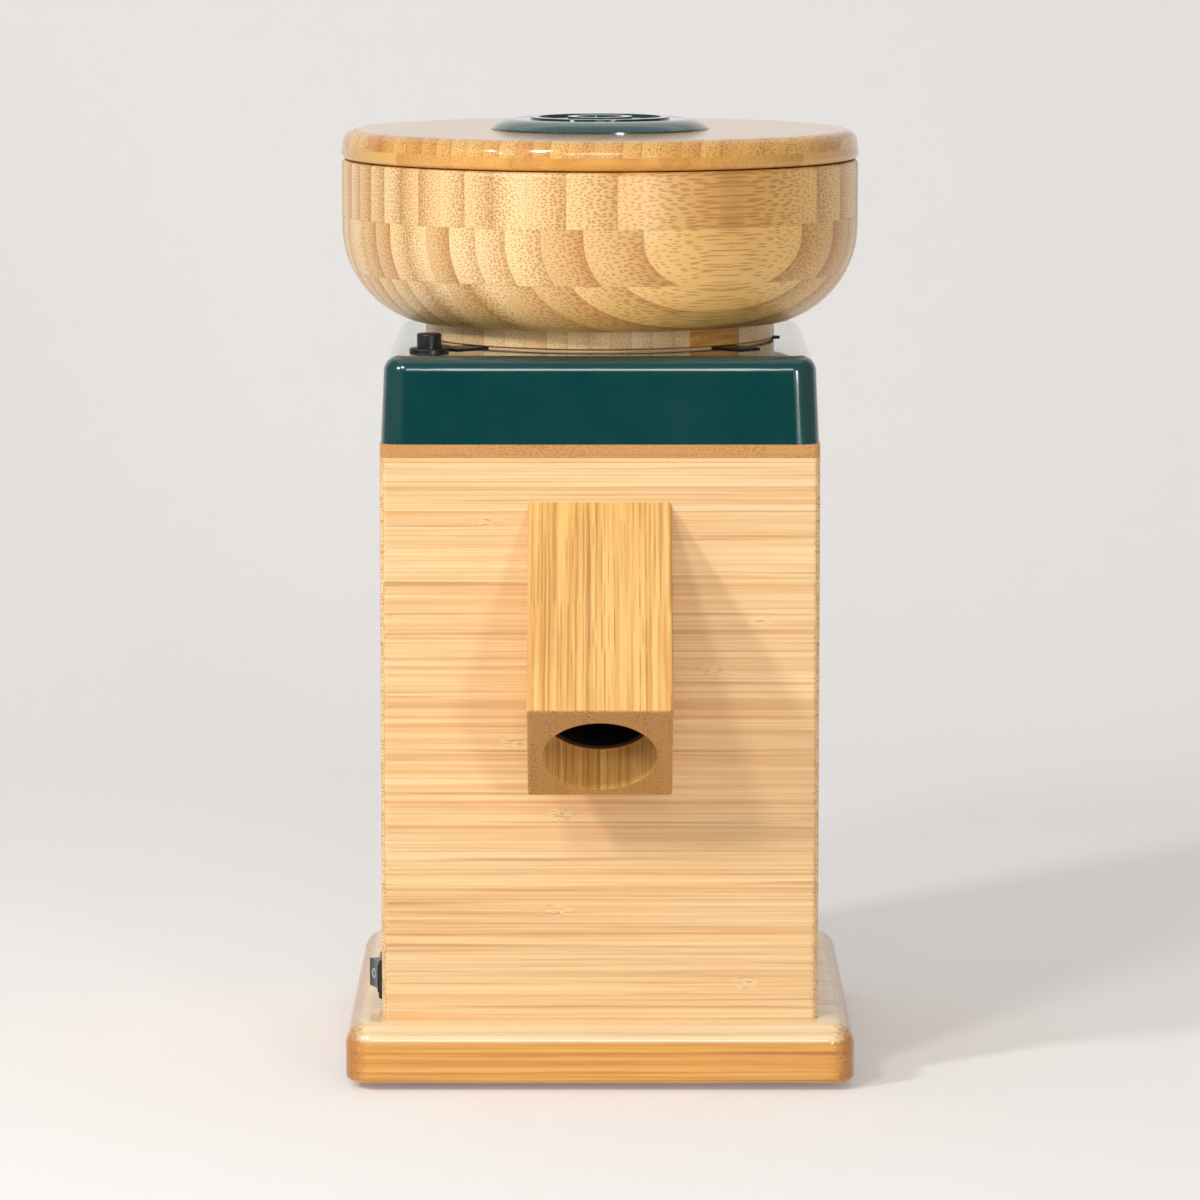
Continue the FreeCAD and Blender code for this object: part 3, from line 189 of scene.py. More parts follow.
class MillFinishSettings(bpy.types.PropertyGroup):
    """Colours of the enamel, plastics and metals"""
    enamel: colour_value("Enamel", "Glossy cap and badge", 0, 62, 62)
    plastic: colour_value("Plastic", "Black outside plastic", 24, 25, 27)
    inner_plastic: colour_value("Inner plastic", "Black plastic inside", 16, 16, 17)
    rubber: colour_value("Rubber", "Feet", 30, 29, 28)
    # Painted reflection: pale wood colour on the rim under the neck, where it lies in shade
    painted_neck_reflection: colour_value("Felt", "Facing of the rim under the neck", 226, 184, 138)
    mark: colour_value("Switch marks", "Printed circle and bar on the rocker", 205, 208, 212)
    stone: colour_value("Millstone", "Corundum millstones", 214, 206, 196)
    copper: colour_value("Copper", "Enamelled winding wire", 186, 98, 52)
    coat_roughness: share_value("Lacquer roughness", "Roughness of the clear lacquer on the bamboo", 0.24)
    polish_roughness: share_value("Polish roughness", "Roughness of the lacquer on lid and base", 0.12)


class MillStageSettings(bpy.types.PropertyGroup):
    """Backdrop, lamps and camera"""
    backdrop: colour_value("Backdrop", "Colour of the floor and wall", 235, 232, 229)
    glow: colour_value("Glow", "Colour of the floor's and wall's own light", 227, 227, 228)
    floor_glow: share_value("Floor glow", "Own light of the floor, seen by the camera and in mirrors", 0.22)
    wall_glow: share_value("Wall glow", "Own light of the wall, seen by the camera and in mirrors", 0.26)
    key_power: watts_value("Key power", "Small lamp at the upper left", 14.6)
    second_power: watts_value("Second power", "Soft lamp at the left, near the camera", 8.8)
    right_power: watts_value("Right power", "Low soft lamp at the right", 6.4)
    front_power: watts_value("Front power", "Soft lamp over the camera", 4.3)
    top_power: watts_value("Top power", "Wide soft lamp overhead", 10.0)
    sky: share_value("Sky", "Strength of the pale light from all round", 0.24)
    camera_distance: length_value("Camera distance", "From the mill's axis to the camera", 2.3062)
    camera_height: length_value("Camera height", "Height of the camera above the floor", 0.4706)
    camera_pitch: bpy.props.FloatProperty(
        name="Camera pitch", description="How far the camera looks down", default=math.radians(7.34),
        subtype="ANGLE")
    camera_lens: bpy.props.FloatProperty(
        name="Lens", description="Focal length on a 36 mm sensor", default=178.72, unit="CAMERA")


def linear(colour):
    """Screen colour as linear light, with full alpha."""
    channels = [c / 12.92 if c <= 0.04045 else ((c + 0.055) / 1.055) ** 2.4 for c in colour]
    return (*channels, 1.0)


class Wiring:
    """Adds nodes to one tree. A value that is a socket is linked, and anything else is set."""

    def __init__(self, tree):
        self.tree = tree

    def feed(self, socket, value):
        """Link or set one input."""
        if isinstance(value, bpy.types.NodeSocket):
            self.tree.links.new(value, socket)
        elif isinstance(value, Vector):
            socket.default_value = tuple(value)
        else:
            socket.default_value = value

    def node(self, kind, inputs=None, **settings):
        """Shader node with its settings, and with some of its inputs fed."""
        made = self.tree.nodes.new("ShaderNode" + kind)
        for name, value in settings.items():
            setattr(made, name, value)
        for name, value in (inputs or {}).items():
            self.feed(made.inputs[name], value)
        return made

    def math(self, operation, *values, clamp=False):
        """Result of a sum or another operation on numbers."""
        made = self.node("Math", operation=operation, use_clamp=clamp)
        for socket, value in zip(made.inputs, values):
            self.feed(socket, value)
        return made.outputs[0]

    def times(self, first, second):
        """Product of two numbers."""
        return self.math("MULTIPLY", first, second)

    def plus(self, first, second):
        """Sum of two numbers."""
        return self.math("ADD", first, second)

    def vector(self, operation, *values, output="Vector"):
        """Result of an operation on vectors."""
        made = self.node("VectorMath", operation=operation)
        for socket, value in zip(made.inputs, values):
            self.feed(socket, value)
        return made.outputs[output]

    def scaled(self, vector, factor):
        """Vector times a number."""
        made = self.node("VectorMath", operation="SCALE")
        self.feed(made.inputs[0], vector)
        self.feed(made.inputs["Scale"], factor)
        return made.outputs["Vector"]

    def joined(self, x, y, z=0.0):
        """Vector of three numbers."""
        return self.node("CombineXYZ", {"X": x, "Y": y, "Z": z}).outputs[0]

    def parts(self, vector):
        """The three numbers of a vector."""
        made = self.node("SeparateXYZ", {"Vector": vector})
        return made.outputs[0], made.outputs[1], made.outputs[2]

    def blended(self, share, first, second, how="MIX"):
        """Mix of two colours."""
        made = self.node("Mix", data_type="RGBA", blend_type=how)
        for index, value in ((0, share), (6, first), (7, second)):
            self.feed(made.inputs[index], value)
        return made.outputs[2]

    def between(self, share, first, second):
        """Mix of two numbers."""
        made = self.node("Mix", data_type="FLOAT")
        for index, value in ((0, share), (2, first), (3, second)):
            self.feed(made.inputs[index], value)
        return made.outputs[0]

    def ramp(self, value, start, end, low=0.0, high=1.0):
        """Smooth step from low to high as the value goes from start to end."""
        limits = {"Value": value, "From Min": start, "From Max": end, "To Min": low, "To Max": high}
        return self.node("MapRange", limits, interpolation_type="SMOOTHSTEP").outputs[0]

    def noise(self, vector, scale, detail=2.0, output="Fac", roughness=0.5):
        """Noise at a place, as a number, or as a colour where the output says so."""
        made = self.node("TexNoise", {"Vector": vector, "Scale": scale, "Detail": detail,
                                      "Roughness": roughness})
        return made.outputs[output]


def new_group(name, inputs, outputs):
    """Empty shader group with its named sockets. Returns it with its wiring and its input sockets."""
    group = bpy.data.node_groups.new(name, "ShaderNodeTree")
    for label, (kind, value) in inputs.items():
        socket = group.interface.new_socket(label, in_out="INPUT", socket_type="NodeSocket" + kind)
        if value is not None:
            socket.default_value = value
    for label, kind in outputs.items():
        group.interface.new_socket(label, in_out="OUTPUT", socket_type="NodeSocket" + kind)
    wires = Wiring(group)
    source = group.nodes.new("NodeGroupInput")
    sink = group.nodes.new("NodeGroupOutput")
    return group, wires, source.outputs, sink.inputs


def strip_cells(w, given, across, up):
    """Strip that a place lies in, the share of the way across the strip and up its layer, and a
    node with random numbers for that strip."""
    layer_place = w.math("DIVIDE", w.math("SUBTRACT", up, given["Layer Start"]), given["Layer Height"])
    layer = w.math("FLOOR", layer_place)
    strip_place = w.plus(w.math("DIVIDE", across, given["Strip Width"]),
                         w.times(layer, given["Layer Shift"]))
    strip = w.math("FLOOR", strip_place)
    chance = w.node("TexWhiteNoise", {"Vector": w.joined(strip, layer, given["Seed"])},
                    noise_dimensions="3D")
    return strip, w.math("FRACT", strip_place), w.math("FRACT", layer_place), chance


def swaying_bundles(w, given, along, across, up, first, third):
    """Places across and up that sway slowly along the fibres, and start elsewhere in each strip."""
    slow = w.joined(w.math("DIVIDE", along, given["Wander Length"]),
                    w.plus(w.times(across, 0.05), w.times(first, 17.0)), w.times(up, 0.05))
    sway = w.vector("SUBTRACT", w.noise(slow, 1.0, 2.0, "Color"), (0.5, 0.5, 0.5))
    sway_across, sway_up, _ = w.parts(w.scaled(sway, given["Wander"]))
    bundle_across = w.plus(w.plus(across, w.times(sway_across, 0.4)), w.times(first, 37.0))
    bundle_up = w.plus(w.plus(up, sway_up), w.times(third, 53.0))
    return bundle_across, bundle_up


def bundle_dots(w, given, bundle_across, bundle_up, skin):
    """Fibre bundles as dots, which are larger towards the skin side of a strip."""
    cell = w.joined(w.math("DIVIDE", bundle_across, given["Bundle Size"]),
                    w.math("DIVIDE", bundle_up, given["Bundle Size"]))
    bundles = w.node("TexVoronoi", {"Vector": cell, "Scale": 1.0, "Randomness": 0.8},
                     voronoi_dimensions="2D", feature="F1")
    size = w.between(skin, PITH_BUNDLE, SKIN_BUNDLE)
    return w.ramp(w.math("SUBTRACT", bundles.outputs["Distance"], size), -0.10, 0.10, 1.0, 0.0)


def fibre_noise(w, given, along, bundle_across, bundle_up):
    """Streaks, fine threads and rarer dark accents: noise drawn out along the fibres."""
    stretched = w.joined(w.math("DIVIDE", along, given["Streak Length"]),
                         w.math("DIVIDE", bundle_across, given["Streak Width"]),
                         w.math("DIVIDE", bundle_up, w.times(given["Streak Width"], 4.0)))
    thread = w.joined(w.times(along, 0.03), w.times(bundle_across, 2.2), w.times(bundle_up, 2.2))
    apart = w.vector("ADD", w.vector("MULTIPLY", stretched, (0.7, 0.8, 1.0)), (31.0, 7.0, 3.0))
    streaks = w.noise(stretched, 1.0, 4.0, roughness=0.62)
    threads = w.noise(thread, 1.0, 2.0)
    accents = w.noise(apart, 1.0, 3.0, roughness=0.55)
    return streaks, threads, accents


def knuckled(w, given, cane, place, strip, inside, first):
    """Colour with the knuckles of the cane: small pale patches with dark wisps, in a few strips."""
    along, across, up = place
    run = w.plus(w.math("DIVIDE", along, KNUCKLE_PITCH), w.times(first, 9.0))
    mark = w.node("TexWhiteNoise", {"Vector": w.joined(w.math("FLOOR", run), strip, given["Seed"])},
                  noise_dimensions="3D")
    ragged = w.noise(w.joined(w.times(along, 0.3), w.times(across, 0.9), w.times(up, 0.9)), 1.0, 3.0)
    off_along = w.times(w.math("SUBTRACT", w.math("FRACT", run), 0.5), KNUCKLE_PITCH / 6.5)
    off_across = w.times(w.math("SUBTRACT", inside, 0.5), 3.2)
    reach = w.vector("LENGTH", w.joined(off_along, off_across), output="Value")
    reach = w.plus(reach, w.times(w.math("SUBTRACT", ragged, 0.5), 2.4))
    patch = w.times(w.ramp(reach, 0.25, 1.15, 1.0, 0.0),
                    w.math("GREATER_THAN", mark.outputs["Value"], 1.0 - KNUCKLE_SHARE))
    patch = w.times(patch, given["Knuckles"])
    wisps = w.noise(w.joined(w.times(along, 0.28), w.times(across, 1.5),
                             w.times(up, 1.5)), 1.0, 3.0, roughness=0.7)
    cane = w.blended(patch, cane, given["Pale"])
    return w.blended(w.times(patch, w.ramp(wisps, 0.52, 0.62)), cane, given["Bundle"])


def glue_lines(w, given, inside, layer_inside, streaks):
    """Thin lines between strips and between layers, stronger in some places."""
    strip_edge = w.math("MINIMUM", inside, w.math("SUBTRACT", 1.0, inside))
    strip_edge = w.times(strip_edge, given["Strip Width"])
    layer_edge = w.math("MINIMUM", layer_inside, w.math("SUBTRACT", 1.0, layer_inside))
    layer_edge = w.times(layer_edge, given["Layer Height"])
    glue = w.ramp(w.math("MINIMUM", strip_edge, layer_edge), 0.04, 0.22, 1.0, 0.0)
    return w.times(glue, w.ramp(streaks, 0.34, 0.55, 0.25, 1.0))


def bamboo_group():
    """Laminated bamboo as a solid pattern. Place runs along the fibres, across the strips and up the
    layers, in metres, so a face along the fibres shows lines and a cut end shows dots."""
    grey = (0.5, 0.5, 0.5, 1.0)
    group, w, given, result = new_group("laminated_bamboo", {
        "Place": ("Vector", None), "End Facing": ("Float", 0.0), "Strip Width": ("Float", 10.0),
        "Layer Height": ("Float", 20.0), "Layer Start": ("Float", 0.0), "Layer Shift": ("Float", 0.38),
        "Bundle Size": ("Float", 1.2), "Face Depth": ("Float", 0.3), "End Depth": ("Float", 0.6),
        "Streaks": ("Float", 0.6), "Streak Width": ("Float", 2.4), "Streak Length": ("Float", 160.0),
        "Accents": ("Float", 0.3), "Wander": ("Float", 1.0), "Wander Length": ("Float", 60.0),
        "Tone Spread": ("Float", 0.6), "Strip Edge": ("Float", 0.3), "Knuckles": ("Float", 0.0),
        "Seed": ("Float", 0.0), "Pale": ("Color", grey), "Amber": ("Color", grey),
        "Bundle": ("Color", grey), "End Grain": ("Color", grey), "End Amber": ("Color", grey),
    }, {"Color": "Color", "Roughness": "Float", "Height": "Float"})
    place = w.parts(w.scaled(given["Place"], 1000.0))
    along, across, up = place
    strip, inside, layer_inside, chance = strip_cells(w, given, across, up)
    first, second, third = w.parts(chance.outputs["Color"])

    # The skin side of each strip has dense bundles and the pith side has few. Some strips are turned.
    turned = w.math("GREATER_THAN", second, 0.85)
    skin = w.between(turned, inside, w.math("SUBTRACT", 1.0, inside))
    bundle_across, bundle_up = swaying_bundles(w, given, along, across, up, first, third)
    dots = bundle_dots(w, given, bundle_across, bundle_up, skin)
    streaks, threads, accents = fibre_noise(w, given, along, bundle_across, bundle_up)

    # Tone from pale to amber, by strip, by the side of the strip and by the fibres
    spread = w.times(w.math("SUBTRACT", chance.outputs["Value"], 0.5), given["Tone Spread"])
    dark_edge = w.times(w.math("POWER", skin, 2.0), given["Strip Edge"])
    strip_tone = w.plus(spread, dark_edge)
    streak_tone = w.times(w.math("SUBTRACT", streaks, 0.44), w.times(given["Streaks"], 4.0))
    thread_tone = w.times(w.math("SUBTRACT", threads, 0.5), 0.35)
    tone = w.plus(strip_tone, w.plus(streak_tone, thread_tone))
    cane = w.blended(w.math("ADD", tone, 0.12, clamp=True), given["Pale"], given["Amber"])
    accent_share = w.times(w.ramp(accents, 0.56, 0.70), given["Accents"])
    cane = w.blended(accent_share, cane, given["Bundle"])

    end_tone = w.math("ADD", strip_tone, w.plus(thread_tone, 0.15), clamp=True)
    cut_cane = w.blended(end_tone, given["End Grain"], given["End Amber"])
    cut_end = w.ramp(given["End Facing"], 0.12, 0.85)
    cane = w.blended(cut_end, cane, cut_cane)
    bundle_share = w.times(dots, w.between(cut_end, given["Face Depth"], given["End Depth"]))
    cane = w.blended(bundle_share, cane, given["Bundle"])

    cane = knuckled(w, given, cane, place, strip, inside, first)
    glue = glue_lines(w, given, inside, layer_inside, streaks)
    cane = w.blended(w.times(glue, 0.34), cane, given["Bundle"])

    w.feed(result["Color"], cane)
    w.feed(result["Roughness"], w.plus(0.42, w.times(threads, 0.16)))
    depth = w.plus(w.times(dots, -0.5), w.times(glue, -0.8))
    w.feed(result["Height"], w.plus(depth, w.times(threads, 0.4)))
    return group


def grit_group():
    """Fine surface texture of moulded, cast and ground pieces."""
    group, w, given, result = new_group("fine_texture", {
        "Place": ("Vector", None), "Grain": ("Float", 1.0), "Smooth": ("Float", 0.3),
        "Rough": ("Float", 0.5), "Color": ("Color", (0.5, 0.5, 0.5, 1.0)), "Worn": ("Float", 0.15),
    }, {"Color": "Color", "Roughness": "Float", "Height": "Float"})
    place = w.scaled(given["Place"], 1000.0)
    grain = w.joined(given["Grain"], given["Grain"], given["Grain"])
    fine = w.noise(w.vector("DIVIDE", place, grain), 1.0, 3.0)
    cloud = w.noise(place, 0.045, 3.0)
    shade = w.times(w.math("SUBTRACT", cloud, 0.5), given["Worn"])
    brighter = w.plus(1.0, shade)
    tinted = w.blended(1.0, given["Color"], w.joined(brighter, brighter, brighter), "MULTIPLY")
    w.feed(result["Color"], tinted)
    spread = w.plus(w.times(cloud, 0.6), w.times(fine, 0.4))
    w.feed(result["Roughness"], w.between(w.ramp(spread, 0.3, 0.7), given["Smooth"], given["Rough"]))
    w.feed(result["Height"], fine)
    return group


def turned_group():
    """Fine rings left by turning a piece about an upright axis."""
    group, w, given, result = new_group("turned_rings", {
        "Place": ("Vector", None), "Pitch": ("Float", 0.5), "Smooth": ("Float", 0.25),
        "Rough": ("Float", 0.4),
    }, {"Roughness": "Float", "Height": "Float"})
    x, y, z = w.parts(w.scaled(given["Place"], 1000.0))
    radius = w.math("SQRT", w.plus(w.times(x, x), w.times(y, y)))
    ring_place = w.joined(w.math("DIVIDE", radius, given["Pitch"]), 0.0,
                          w.math("DIVIDE", z, given["Pitch"]))
    rings = w.noise(ring_place, 1.0, 2.0)
    w.feed(result["Roughness"], w.between(rings, given["Smooth"], given["Rough"]))
    w.feed(result["Height"], rings)
    return group


GROUPS = {"bamboo": bamboo_group, "grit": grit_group, "turned": turned_group}
made_groups = {}


def shared_group(key):
    """The shader group of that kind, built once."""
    if key not in made_groups:
        made_groups[key] = GROUPS[key]()
    return made_groups[key]


def blank_material(name):
    """Material with an empty Principled shader. Returns it with its wiring and the shader."""
    material = bpy.data.materials.new(name)
    material.use_nodes = True
    tree = material.node_tree
    tree.nodes.clear()
    w = Wiring(tree)
    shader = w.node("BsdfPrincipled")
    output = w.node("OutputMaterial")
    tree.links.new(shader.outputs[0], output.inputs["Surface"])
    return material, w, shader


def grouped(w, key, values):
    """Place the shared group in a material with its own values."""
    made = w.tree.nodes.new("ShaderNodeGroup")
    made.node_tree = shared_group(key)
    for name, value in values.items():
        w.feed(made.inputs[name], value)
    return made.outputs


def raised(w, shader, height, distance, strength=1.0):
    """Feed a height to the shader's normal through a bump."""
    bump = w.node("Bump", {"Height": height, "Distance": distance, "Strength": strength})
    w.feed(shader.inputs["Normal"], bump.outputs[0])


def bamboo_pattern(w, fibres, across, strip, pale, amber, upward=UP, **look):
    """Bamboo whose fibres run along one direction and whose strips lie across another."""
    cane = bpy.context.scene.mill_bamboo
    local = w.node("TexCoord").outputs
    place = w.vector("SUBTRACT", local["Object"], MILL_AXIS)
    along = w.vector("DOT_PRODUCT", place, fibres, output="Value")
    sideways = w.vector("DOT_PRODUCT", place, across, output="Value")
    level = w.vector("DOT_PRODUCT", place, upward, output="Value")
    facing = w.math("ABSOLUTE", w.vector("DOT_PRODUCT", local["Normal"], fibres, output="Value"))
    values = {
        "Place": w.joined(along, sideways, level), "End Facing": facing, "Strip Width": strip / MM,
        "Bundle Size": cane.bundle_size / MM, "Pale": linear(pale), "Amber": linear(amber),
        "Bundle": linear(cane.bundle), "End Grain": linear(cane.end_grain), "End Amber": linear(amber),
    }
    values.update({key.replace("_", " "): value for key, value in look.items()})
    return grouped(w, "bamboo", values)


def lacquered(w, shader, colour, roughness, height, coat, coat_roughness):
    """Feed a bamboo pattern to the shader, under a clear coat of lacquer."""
    w.feed(shader.inputs["Base Color"], colour)
    w.feed(shader.inputs["Roughness"], roughness)
    raised(w, shader, height, 0.05 * MM, 0.6)
    shader.inputs["Coat Weight"].default_value = coat
    shader.inputs["Coat Roughness"].default_value = coat_roughness
    shader.inputs["Specular IOR Level"].default_value = 0.35


def bamboo(name, fibres, across, strip, pale, amber, coat=0.6, **look):
    """Lacquered bamboo with one direction of grain."""
    material, w, shader = blank_material(name)
    wood = bamboo_pattern(w, fibres, across, strip, pale, amber, **look)
    lacquered(w, shader, wood["Color"], wood["Roughness"], wood["Height"], coat,
              bpy.context.scene.mill_finish.coat_roughness)
    return material


def two_grains(name, coat, coat_roughness, share, first, second):
    """Lacquered bamboo with one grain where the share is 0 and another where it is 1. share is a
    function of the wiring and the place from the mill's axis, in metres."""
    material, w, shader = blank_material(name)
    place = w.vector("SUBTRACT", w.node("TexCoord").outputs["Object"], MILL_AXIS)
    where = share(w, *w.parts(place))
    one = bamboo_pattern(w, **first)
    other = bamboo_pattern(w, **second)
    lacquered(w, shader, w.blended(where, one["Color"], other["Color"]),
              w.between(where, one["Roughness"], other["Roughness"]),
              w.between(where, one["Height"], other["Height"]), coat, coat_roughness)
    return material


def moulded(name, colour, grain=0.5, smooth=0.3, rough=0.45, depth=0.02, metallic=0.0, worn=0.15,
            coat=0.0, coat_roughness=0.05):
    """Plastic, rubber, enamel, stone or cast metal with a fine texture of its own."""
    material, w, shader = blank_material(name)
    local = w.node("TexCoord").outputs
    skin = grouped(w, "grit", {"Place": local["Object"], "Grain": grain, "Smooth": smooth,
                               "Rough": rough, "Color": linear(colour), "Worn": worn})
    w.feed(shader.inputs["Base Color"], skin["Color"])
    w.feed(shader.inputs["Roughness"], skin["Roughness"])
    raised(w, shader, skin["Height"], depth * MM)
    shader.inputs["Metallic"].default_value = metallic
    shader.inputs["Coat Weight"].default_value = coat
    shader.inputs["Coat Roughness"].default_value = coat_roughness
    return material


def machined(name, colour, pitch=0.4, smooth=0.2, rough=0.36):
    """Metal with turning marks about the mill's axis."""
    material, w, shader = blank_material(name)
    local = w.node("TexCoord").outputs
    centred = w.vector("SUBTRACT", local["Object"], MILL_AXIS)
    marks = grouped(w, "turned", {"Place": centred, "Pitch": pitch, "Smooth": smooth, "Rough": rough})
    shader.inputs["Base Color"].default_value = linear(colour)
    w.feed(shader.inputs["Roughness"], marks["Roughness"])
    raised(w, shader, marks["Height"], 0.01 * MM)
    shader.inputs["Metallic"].default_value = 1.0
    return material


def dress(material, *names):
    """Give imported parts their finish."""
    for name in names:
        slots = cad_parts[name].data.materials
        slots.clear()
        slots.append(material)


def mesh_piece(name, mesh_maker, material, body):
    """New piece from a function that fills an empty bmesh. It rides on a body."""
    shape = bmesh.new()
    mesh_maker(shape)
    bmesh.ops.recalc_face_normals(shape, faces=shape.faces)
    mesh = bpy.data.meshes.new(name)
    shape.to_mesh(mesh)
    shape.free()
    piece = bpy.data.objects.new(name, mesh)
    bpy.context.scene.collection.objects.link(piece)
    mesh.materials.append(material)
    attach(piece, body)
    return piece


class MILL_OT_bowl(bpy.types.Operator):
    """Finish the turned bowl, and the wooden neck ring under it with its one block of long grain"""
    bl_idname = "mill.bowl"
    bl_label = "Bowl and neck ring"

    def execute(self, context):
        cane = context.scene.mill_bamboo
        turn = math.degrees(cane.bowl_turn)
        bowl = bamboo("bowl_bamboo", heading(turn), heading(turn - 90), cane.bowl_strip, cane.bowl_pale,
                      cane.bowl_amber, Layer_Height=cane.bowl_layer / MM,
                      Layer_Start=(BOWL_HIGH.z - cane.bowl_layer) / MM, Face_Depth=0.5, End_Depth=0.62,
                      Streaks=0.12, Accents=0.0, Wander=0.9, Wander_Length=9.0, Tone_Spread=0.6,
                      Strip_Edge=0.6, Seed=3.0, End_Grain=linear(cane.bowl_end))
        blocks = {"fibres": REARWARD, "across": RIGHT, "strip": cane.neck_strip, "pale": cane.neck_pale,
                  "amber": cane.panel_amber, "Layer_Height": 60.0, "Streaks": 0.15, "Accents": 0.0,
                  "Tone_Spread": 0.5, "End_Depth": 0.32, "Seed": 8.0, "End_Grain": linear(cane.neck_pale)}
        long_block = dict(blocks, fibres=RIGHT, across=UP, upward=REARWARD, pale=cane.base_pale,
                          amber=cane.base_amber, Streaks=0.8, Accents=0.5, End_Facing=0.0)

        def in_long_block(w, x, y, z):
            between = w.times(w.math("GREATER_THAN", x, LONG_BLOCK_LEFT),
                              w.math("LESS_THAN", x, LONG_BLOCK_RIGHT))
            return w.times(between, w.math("LESS_THAN", y, 0.0))

        lacquer = context.scene.mill_finish.coat_roughness
        neck = two_grains("neck_bamboo", 0.5, lacquer, in_long_block, blocks, long_block)
        dress(bowl, "hopper_bowl")
        dress(neck, "neck_ring")
        return {"FINISHED"}


class MILL_OT_lid(bpy.types.Operator):
    """Finish the lid, made of two boards glued together with their grain crossed"""
    bl_idname = "mill.lid"
    bl_label = "Lid"

    def execute(self, context):
        cane = context.scene.mill_bamboo
        upper = {"fibres": heading(LID_GRAIN), "across": heading(LID_GRAIN - 90), "strip": cane.lid_strip,
                 "pale": cane.lid_pale, "amber": cane.base_amber, "Layer_Height": 90.0,
                 "Streaks": 0.3, "Accents": 0.1, "Tone_Spread": 0.85, "Strip_Edge": 0.35, "Wander": 0.8,
                 "Wander_Length": 12.0, "Face_Depth": 0.4, "End_Depth": 0.58, "Seed": 5.0,
                 "End_Grain": linear(cane.lid_pale)}
        lower = dict(upper, fibres=RIGHT, across=REARWARD, pale=cane.lid_low, amber=cane.base_amber,
                     strip=30 * MM, Streaks=0.5, Face_Depth=0.12, End_Depth=0.3, Tone_Spread=0.3)

        def in_lower_board(w, x, y, z):
            return w.math("LESS_THAN", z, LID_TOP - cane.lid_board)

        polish = context.scene.mill_finish.polish_roughness
        dress(two_grains("lid_bamboo", 1.0, polish, in_lower_board, upper, lower), "hopper_lid")
        return {"FINISHED"}


class MILL_OT_housing(bpy.types.Operator):
    """Finish the four panels and the deck board that closes them"""
    bl_idname = "mill.housing"
    bl_label = "Housing panels"

    def execute(self, context):
        cane = context.scene.mill_bamboo
        look = {"Layer_Height": 90.0, "Face_Depth": 0.16, "End_Depth": 0.6, "Streaks": 0.55,
                "Streak_Width": 1.7, "Streak_Length": 150.0, "Accents": 0.42, "Wander": 0.7,
                "Wander_Length": 90.0, "Tone_Spread": 0.3, "Strip_Edge": 0.2, "Knuckles": 0.6,
                "End_Grain": linear(cane.panel_pale)}
        faces = bamboo("panel_bamboo", RIGHT, UP, cane.panel_strip, cane.panel_pale, cane.panel_amber,
                       upward=REARWARD, Seed=2.0, **look)
        flanks = bamboo("side_bamboo", REARWARD, UP, cane.panel_strip, cane.panel_pale, cane.panel_amber,
                        upward=RIGHT, Seed=6.0, **look)
        deck = bamboo("deck_bamboo", REARWARD, RIGHT, cane.deck_strip, cane.bowl_pale, cane.bowl_amber,
                      Layer_Height=60.0, Streaks=0.2, Accents=0.0, End_Depth=0.5, Tone_Spread=0.6,
                      Seed=4.0, End_Grain=linear(cane.deck_end))
        dress(faces, "front_panel", "rear_panel")
        dress(flanks, "left_panel", "right_panel")
        dress(deck, "top_deck")
        return {"FINISHED"}


class MILL_OT_base(bpy.types.Operator):
    """Finish the thick base board and its rubber feet"""
    bl_idname = "mill.base"
    bl_label = "Base and feet"

    def execute(self, context):
        cane = context.scene.mill_bamboo
        finish = context.scene.mill_finish
        lower = {"fibres": RIGHT, "across": UP, "upward": REARWARD, "strip": cane.base_strip,
                 "pale": cane.base_pale, "amber": cane.base_amber, "Layer_Height": 400.0,
                 "Layer_Start": -200.0, "Face_Depth": 0.18, "End_Depth": 0.65, "Streaks": 0.85,
                 "Streak_Width": 1.6, "Streak_Length": 150.0, "Accents": 0.6, "Wander": 0.8,
                 "Wander_Length": 90.0, "Tone_Spread": 0.3, "Strip_Edge": 0.2, "Knuckles": 0.3, "Seed": 7.0}
        # The upper strip is paler: partly a real pale strip of cane, partly a painted reflection on the
        # base's top face
        upper = dict(lower, pale=cane.base_top_and_sheen, amber=cane.panel_pale, Streaks=0.6, Accents=0.2,
                     Tone_Spread=0.2)

        def in_upper_strip(w, x, y, z):
            return w.ramp(z, SEAM_LOW, SEAM_HIGH)

        board = two_grains("base_bamboo", 0.8, finish.polish_roughness, in_upper_strip, lower, upper)
        rubber = moulded("foot_rubber", finish.rubber, grain=0.4, smooth=0.6, rough=0.8, depth=0.03)
        dress(board, "base_plate")
        dress(rubber, "rubber_feet", "chamber_seal")
        return {"FINISHED"}


class MILL_OT_spout(bpy.types.Operator):
    """Finish the sloping spout and the liner inside it"""
    bl_idname = "mill.spout"
    bl_label = "Spout and liner"

    def execute(self, context):
        cane = context.scene.mill_bamboo
        finish = context.scene.mill_finish
        slope = math.radians(SPOUT_SLOPE)
        uphill = Vector((0.0, math.cos(slope), math.sin(slope)))
        outward = Vector((0.0, -math.sin(slope), math.cos(slope)))
        block = bamboo("spout_bamboo", uphill, RIGHT, cane.spout_strip, cane.spout_pale, cane.spout_amber,
                       upward=outward, Layer_Height=400.0, Layer_Start=-200.0, Bundle_Size=1.35,
                       Face_Depth=0.4, End_Depth=0.75, Streaks=0.75, Streak_Width=2.2, Streak_Length=95.0,
                       Accents=0.45, Wander=2.4, Wander_Length=38.0, Tone_Spread=0.3, Strip_Edge=0.15,
                       Seed=9.0, End_Grain=linear(cane.spout_end))
        liner = moulded("liner_plastic", finish.inner_plastic, grain=0.3, smooth=0.3, rough=0.4)
        dress(block, "spout_block")
        dress(liner, "spout_liner")
        return {"FINISHED"}


